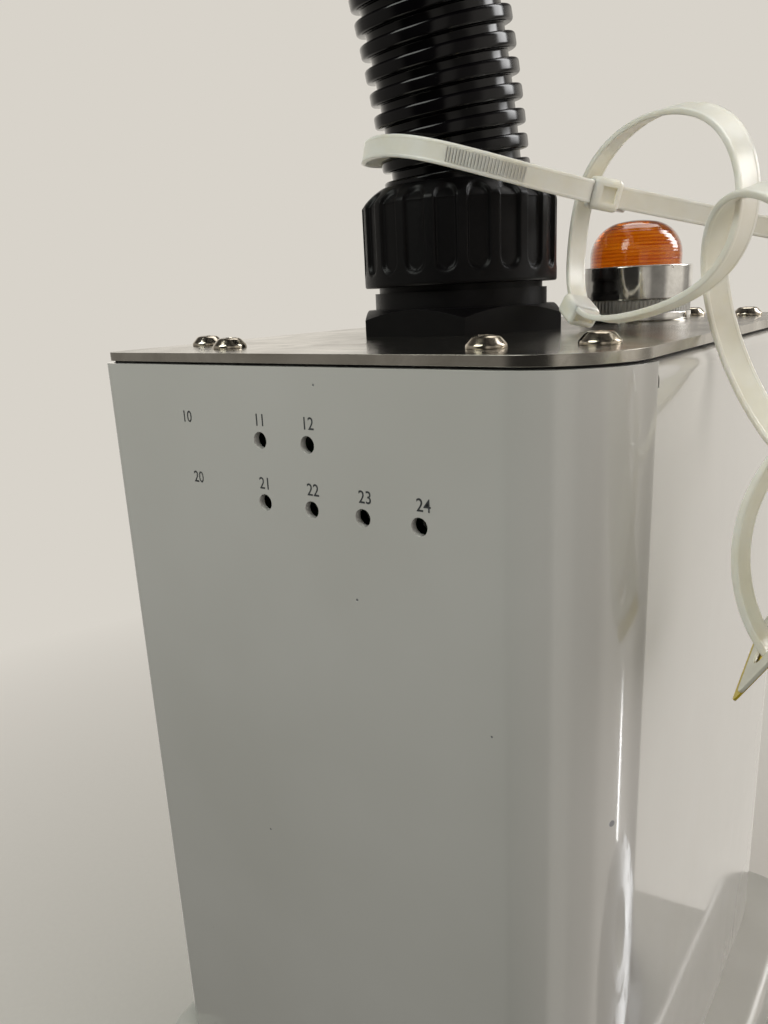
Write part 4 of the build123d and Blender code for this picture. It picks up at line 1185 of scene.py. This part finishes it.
# cable ties: strap round a loop, grooved on both faces, with a locking head
tie = {
    "width": 5.2,
    "thick": 1.3,
    "edge": 0.35,
    "groove": 3.9,
    "grooveDepth": 0.1,
    "grooveSlope": 0.2,
    "grooveRound": (0.1, 0.15),
    "steps": 180,
    "roundSteps": 3,
    "sharp": 40,
    "headLong": 7.6,
    "headWide": 7.4,
    "headHigh": 5.2,
    "headEdge": 1.3,
    "headSteps": 6,
    # the pawl's window in the head's outer face, and the strap's way through its end
    "window": (-1.4, 2.2),
    "windowWide": 3.6,
    "windowDeep": 0.8,
    "way": (0.9, 2.4),
    "wayWide": 5.6,
    "wayDeep": 0.9,
    "tail": 58.0,
    "tailSag": 1.62,
    "tailSteps": 24,
    # ratchet teeth that show beside one head, from and to in degrees round the loop
    "teeth": 25,
    "teethFrom": -117.0,
    "teethTo": -88.0,
    "toothLong": 0.37,
    "toothWide": 3.3,
    "toothHigh": 0.13,
    "toothSunk": 0.02,
}


def strapSection(size):
    # (across, out) points round the strap's section
    half, groove, slope = size["width"] / 2, size["groove"] / 2, size["grooveSlope"]
    outer, inner = size["grooveRound"]
    outline = []
    for side in (-1, 1):
        face = side * size["thick"] / 2
        floor = face - side * size["grooveDepth"]
        flank = [(half, face, size["edge"]), (groove, face, outer), (groove - slope, floor, inner)]
        outline += [(side * across, out, edge) for across, out, edge in flank]
        outline += [(-side * across, out, edge) for across, out, edge in reversed(flank)]
    return rounded(outline, 0, closed=True, steps=size["roundSteps"])


def swing(order, cosPart, sinPart, angle):
    return cosPart * cos(order * angle) + sinPart * sin(order * angle)


class Loop:
    # An oval loop in its own plane. Waves bend it off the oval: (order, out cos, out sin, up cos, up sin).
    # The twist leans the strap over, in degrees all the way round, and so do leans: (order, cos, sin).
    def __init__(self, middle, longWay, normal, longRadius, shortRadius, waves=(), twist=0.0, leans=()):
        self.middle = Vector(middle) + towerMiddle
        self.normal = Vector(normal).normalized()
        self.first = (Vector(longWay) - self.normal * Vector(longWay).dot(self.normal)).normalized()
        self.second = self.normal.cross(self.first)
        self.a, self.b = longRadius, shortRadius
        self.waves, self.twist, self.leans = waves, twist, leans

    def at(self, angle):
        # point, way along and way out
        point = self.middle + self.first * (self.a * cos(angle)) + self.second * (self.b * sin(angle))
        along = (self.second * (self.b * cos(angle)) - self.first * (self.a * sin(angle))).normalized()
        out = along.cross(self.normal)
        for order, outCos, outSin, upCos, upSin in self.waves:
            point += out * swing(order, outCos, outSin, angle)
            point += self.normal * swing(order, upCos, upSin, angle)
        return point, along, out

    def strapAt(self, angle):
        # point, way across and way out of the strap's face
        point, along, out = self.at(angle)
        lean = radians(self.twist + sum(swing(*row, angle) for row in self.leans))
        return point, self.normal * cos(lean) + out * sin(lean), out * cos(lean) - self.normal * sin(lean)


def strapAlong(path, size, closed):
    # path is a list of (point, across, out)
    section = strapSection(size)
    rows = [[point + across * u + out * v for u, v in section] for point, across, out in path]
    return toMesh(sweptStrip(rows, closed), "strap")


def tailStrap(loop, point, size):
    # free end: runs on from the head in a slack bend
    path = []
    for step in range(size["tailSteps"] + 1):
        part = step / size["tailSteps"]
        sag = loop.second * (4 * size["tailSag"] * part * (1 - part))
        path.append((point + loop.first * (size["tail"] * part) + sag, loop.normal, -loop.second))
    return strapAlong(path, size, False)


def tieHead(point, along, out, size):
    # rounded block on the strap
    half, wide, high = size["headLong"] / 2, size["headWide"] / 2, size["headHigh"] - size["thick"]
    build = block((-half, -wide, -size["thick"]), (half, wide, high))
    easeEdges(build, build.edges[:], size["headEdge"], size["headSteps"])
    (left, right), windowHalf = size["window"], size["windowWide"] / 2
    (low, up), wayHalf = size["way"], size["wayWide"] / 2
    window = block((left, -windowHalf, high - size["windowDeep"]), (right, windowHalf, high + cutPast))
    way = block((half - size["wayDeep"], -wayHalf, low), (half + cutPast, wayHalf, up))
    head = carved(carved(toMesh(build, "tieHead"), window), way)
    head.transform(Matrix.Translation(point) @ turnTo(out, along).to_4x4())
    return head


def toothRow(loop, size):
    # ratchet teeth along a stretch of the loop
    wide, high, long = size["toothWide"] / 2, size["toothHigh"], size["toothLong"] / 2
    corners = ((-long, 0), (long, 0), (long / 2, high), (-long, high))
    tooth = sweptStrip([[(x, y, z) for x, z in corners] for y in (-wide, wide)])
    first, last = size["teethFrom"], size["teethTo"]
    places = []
    for index in range(size["teeth"]):
        point, along, out = loop.at(radians(first + (last - first) * index / (size["teeth"] - 1)))
        lift = size["thick"] / 2 - size["grooveDepth"] - size["toothSunk"]
        places.append((point + out * lift, out, along))
    return placed(toMesh(tooth, "tooth"), places, "tieNylon")


# each row: node, where its head stands as a turn from the long way, and the loop
ties = {
    "ringTie": (
        "ring_tie",
        239.0,
        Loop(
            (48.9, -19.5, 25.7),
            (0.812, -0.570, -0.125),
            (-0.536, -0.816, 0.220),
            32.6,
            21.9,
            ((1, -1.26, 0.62, 3.26, -0.69), (2, -0.16, 0.19, -0.21, -0.07), (3, 1.0, -0.15, 0.25, 1.21)),
            -4.5,
            ((1, 8.8, -16.5), (2, 7.3, -3.9)),
        ),
    ),
    "ductTie": (
        "duct_tie",
        -49.0,
        Loop(
            (-0.85, 1.5, 43.5),
            (0.722, 0.662, -0.209),
            (0.267, 0.013, 0.964),
            37.4,
            31.5,
            ((0, -1.5, 0, 0, 0), (1, 2, 0, 0, 0), (2, -0.36, 0.78, -1.27, 0.87), (3, 0, 0.85, 0.13, -0.79)),
        ),
    ),
    "frontTie": (
        "front_tie",
        100.0,
        Loop((83.8, -45.9, 2.5), (-0.55, 0.299, 0.78), (0.729, 0.627, 0.274), 27.4, 22.0),
    ),
    "tagTie": (
        "tag_tie",
        100.0,
        Loop((102.3, -57.0, -30.5), (0.043, 0.229, 0.973), (-0.057, 0.972, -0.226), 25.3, 21.6, twist=-15),
    ),
}


def makeTie(pieceName, node, headTurn, loop, size):
    point, along, out = loop.at(radians(headTurn))
    strap = [loop.strapAt(2 * pi * step / size["steps"]) for step in range(size["steps"])]
    parts = [strapAlong(strap, size, True)]
    if pieceName == "ductTie":
        # this one's head lies along the loop's long way, and its free end runs on to the front
        parts.append(tieHead(point, loop.first, -loop.second, size))
        parts += [tailStrap(loop, point, size), toothRow(loop, size)]
    else:
        parts.append(tieHead(point, along, out, size))
    mesh = smoothed(inMetres(joined(parts)), size["sharp"])
    keepPiece(pieceName, mesh, "tieNylon", "tie_nylon", node)


for pieceName, (node, headTurn, loop) in ties.items():
    makeTie(pieceName, node, headTurn, loop, tie)
print("ties made")


# blank tag, and the coloured leaf behind it that shows below its edge
tagEdge = 0.12
tagLeaf = {
    "corner": (83.8, -67.8, -55.1),
    "across": (-0.021, 0.962, 0.271),
    "face": (0.871, 0.15, -0.467),
    "width": 18.0,
    "length": 58.0,
    "thick": 0.4,
    "radius": 1.6,
    "behind": 0.9,
    "shift": (2.6, -4.4),
    "hole": 7.6,
    "holePlace": (8.2, 6.5),
    "holeSteps": 40,
    "sharp": 30,
}


def makeTagLeaf(size):
    x, y = size["shift"]
    right, top, half, reach = x + size["width"], y + size["length"], size["thick"] / 2, size["hole"] / 2
    outline = rounded([(x, y), (right, y), (right, top), (x, top)], size["radius"], closed=True)
    rows = [[(across, along, z) for across, along in outline] for z in (-half, half)]
    leaf, past = toMesh(sweptStrip(rows), "leaf"), half + cutPast
    punch = turned([(0, -past), (reach, -past), (reach, past), (0, past)], size["holeSteps"])
    bmesh.ops.translate(punch, verts=punch.verts, vec=(*size["holePlace"], 0))
    face = Vector(size["face"]).normalized()
    origin = Vector(size["corner"]) + towerMiddle + face * size["behind"]
    leaf = standOn(carved(leaf, punch), origin, face, size["across"])
    keepPiece("tagLeaf", smoothed(leaf, size["sharp"]), "tagBand", "tag_card")


keepPiece("tag", easedCopy("tag", tagEdge), "tagCard", "tag_card", "tag")
makeTagLeaf(tagLeaf)
print("tag made")


# plain numbers beside the indicator holes: (x, z, number) from the middle of the face's top edge
numbers = {
    "size": 3.7,
    "narrow": 0.92,
    "heavy": 0.03,
    "proud": 0.02,
    "curveSteps": 6,
    "places": (
        (-34.6, -11.8, "10"),
        (-11.15, -11.4, "11"),
        (2.5, -11.4, "12"),
        (-32.7, -25.8, "20"),
        (-11.15, -25.2, "21"),
        (2.68, -25.2, "22"),
        (16.3, -25.2, "23"),
        (30.1, -25.2, "24"),
    ),
}


def makeNumbers(look):
    meshes = []
    for x, z, word in look["places"]:
        data = bpy.data.curves.new("number", "FONT")
        data.body = word
        data.size = look["size"]
        data.offset = look["heavy"]
        data.align_x = data.align_y = "CENTER"
        data.resolution_u = look["curveSteps"]
        holder = linked("number", data)
        bpy.context.view_layer.update()
        mesh = bpy.data.meshes.new_from_object(holder)
        bpy.data.objects.remove(holder)
        place = Matrix.Translation((towerMiddle.x + x, nearFace - look["proud"], towerMiddle.z + z))
        mesh.transform(place @ Matrix.Rotation(pi / 2, 4, "X") @ Matrix.Diagonal((look["narrow"], 1, 1, 1)))
        meshes.append(mesh)
    keepPiece("indicatorNumbers", inMetres(joined(meshes)), "printInk", "connector_black")


makeNumbers(numbers)
print("numbers made")


# floor, backdrop and light
studio = {
    "paperShader": {"Roughness": 0.75, "Specular IOR Level": 0.2},
    "paper": rgb(240, 236, 229),
    "paperFleck": rgb(190, 186, 178),
    "fleckShare": 0.06,
    "fibre": (3.0, 4.0, 0.6),
    "fibreSpan": (0.3, 0.7),
    "fibreRelief": (0.15, 0.05),
    "floorBounce": rgb(120, 117, 112),
    "floorRadius": 30000.0,
    "floorSides": 64,
    "background": rgb(216, 211, 202),
    "fadeStart": 250.0,
    "fadeEnd": 900.0,
    "ambient": 0.05,
    "ambientColour": rgb(226, 230, 226),
    # what shiny surfaces see: brightness round the room from -x by -y, +x and +y back to -x, and upwards
    "shine": 1.5,
    "round": (
        (0.0, 0.3), (0.08, 0.3), (0.165, 0.28), (0.2, 0.03), (0.32, 0.03),
        (0.34, 0.5), (0.38, 0.45), (0.4, 0.2), (0.47, 0.25), (0.5, 0.75),
        (0.6, 0.8), (0.63, 0.4), (0.67, 0.3), (0.7, 0.8), (0.76, 0.8),
        (0.79, 0.45), (0.83, 0.5), (0.87, 0.95), (0.93, 0.8), (1.0, 0.3),
    ),
    "height": ((0.0, 0.8), (0.48, 1.0), (0.66, 1.0), (0.74, 0.2), (1.0, 0.12)),
    # bright windows: where round the room, how high, how bright
    "windows": (((0.605, 0.665), (0.6, 0.88), 6.0), ((0.569, 0.576), (0.165, 0.265), 6.0)),
    "windowEdge": 0.125,    # half the width of a window's soft edge, as a share of the window
}
# each row: place, size, power, whether shiny surfaces mirror it, colour
lights = {
    "key": ((1500.0, 20.0, 1000.0), 2200.0, 25.0, False, rgb(255, 248, 242)),
    "fill": ((-230.0, -420.0, 780.0), 350.0, 2.1, True, rgb(246, 250, 242)),
    "top": ((-200.0, 700.0, 1700.0), 900.0, 6.0, True, rgb(255, 252, 246)),
}
lightAim = towerMiddle - Vector((0, 0, 60))


def makeFloor(look):
    build = bmesh.new()
    sides, radius = look["floorSides"], look["floorRadius"] * mm
    bmesh.ops.create_circle(build, cap_ends=True, segments=sides, radius=radius)
    floor = linked("floor", toMesh(build, "floor"))
    surface, tree, shader = newSurface("floorPaper", look["paperShader"])
    place = objectPlace(tree)
    fibre = noise(tree, place, *look["fibre"])
    flecks = remap(tree, fibre, *look["fibreSpan"], 0.0, look["fleckShare"])
    colour = mixColour(tree, flecks, look["paper"], look["paperFleck"])
    ray = addNode(tree, "ShaderNodeLightPath").outputs
    colour = mixColour(tree, ray["Is Camera Ray"], look["floorBounce"], colour)
    join(tree, shader, colour=colour, normal=bump(tree, fibre, *look["fibreRelief"]))
    away = addNode(tree, "ShaderNodeVectorMath", {0: place}, operation="LENGTH").outputs["Value"]
    fade = remap(tree, away, look["fadeStart"] * mm, look["fadeEnd"] * mm)
    distance = mixColour(tree, ray["Is Camera Ray"], look["floorBounce"], look["background"])
    mixed = mixShader(tree, fade, shader, addNode(tree, "ShaderNodeEmission", {"Color": distance}))
    # shiny surfaces see the room through it
    mixed = mixShader(tree, ray["Is Glossy Ray"], mixed, addNode(tree, "ShaderNodeBsdfTransparent"))
    tree.links.new(mixed.outputs[0], tree.nodes["Material Output"].inputs["Surface"])
    floor.data.materials.append(surface)


def inBand(tree, value, band, edge):
    # 1 between the two ends, 0 outside, with soft edges
    low, high = band
    soft = (high - low) * edge
    rise = remap(tree, value, low - soft, low + soft)
    return maths(tree, "MULTIPLY", rise, remap(tree, value, high - soft, high + soft, 1.0, 0.0))


def makeWorld(look):
    world = bpy.data.worlds.new("studioWorld")
    bpy.context.scene.world = world
    world.use_nodes = True
    tree = world.node_tree
    tree.nodes.clear()
    way = addNode(tree, "ShaderNodeTexCoord").outputs["Generated"]
    x, y, z = addNode(tree, "ShaderNodeSeparateXYZ", {0: way}).outputs
    around = remap(tree, maths(tree, "ARCTAN2", y, x), -pi, pi)
    height = remap(tree, z, -1.0, 1.0)
    aroundTone, heightTone = ramp(tree, around, look["round"]), ramp(tree, height, look["height"])
    room = mixColour(tree, 1.0, aroundTone, heightTone, "MULTIPLY")
    room = mixColour(tree, 1.0, room, look["background"], "MULTIPLY")
    edge = look["windowEdge"]
    for across, upward, strength in look["windows"]:
        pane = maths(tree, "MULTIPLY", inBand(tree, around, across, edge), inBand(tree, height, upward, edge))
        room = mixColour(tree, 1.0, room, maths(tree, "MULTIPLY", pane, strength), "ADD")
    ambient, shiny, seen = (
        addNode(tree, "ShaderNodeBackground", {"Color": colour, "Strength": strength})
        for colour, strength in (
            (look["ambientColour"], look["ambient"]),
            (room, look["shine"]),
            (look["background"], 1.0),
        )
    )
    ray = addNode(tree, "ShaderNodeLightPath").outputs
    direct = maths(tree, "MAXIMUM", ray["Is Camera Ray"], ray["Is Transmission Ray"])
    mixed = mixShader(tree, direct, mixShader(tree, ray["Is Glossy Ray"], ambient, shiny), seen)
    addNode(tree, "ShaderNodeOutputWorld", {"Surface": mixed.outputs[0]})


def makeLight(name, place, size, power, mirrored, colour):
    data = bpy.data.lights.new(name, "AREA")
    data.shape = "SQUARE"
    data.size = size * mm
    data.energy = power
    data.color = colour[:3]
    light = linked(name, data)
    light.location = Vector(place) * mm
    light.visible_glossy = mirrored
    light.rotation_mode = "QUATERNION"
    light.rotation_quaternion = (Vector(place) - lightAim).to_track_quat("Z", "Y")


makeFloor(studio)
makeWorld(studio)
for name, row in lights.items():
    makeLight(name + "Light", *row)
bpy.context.scene.view_settings.view_transform = "Standard"
print("floor and lights made")
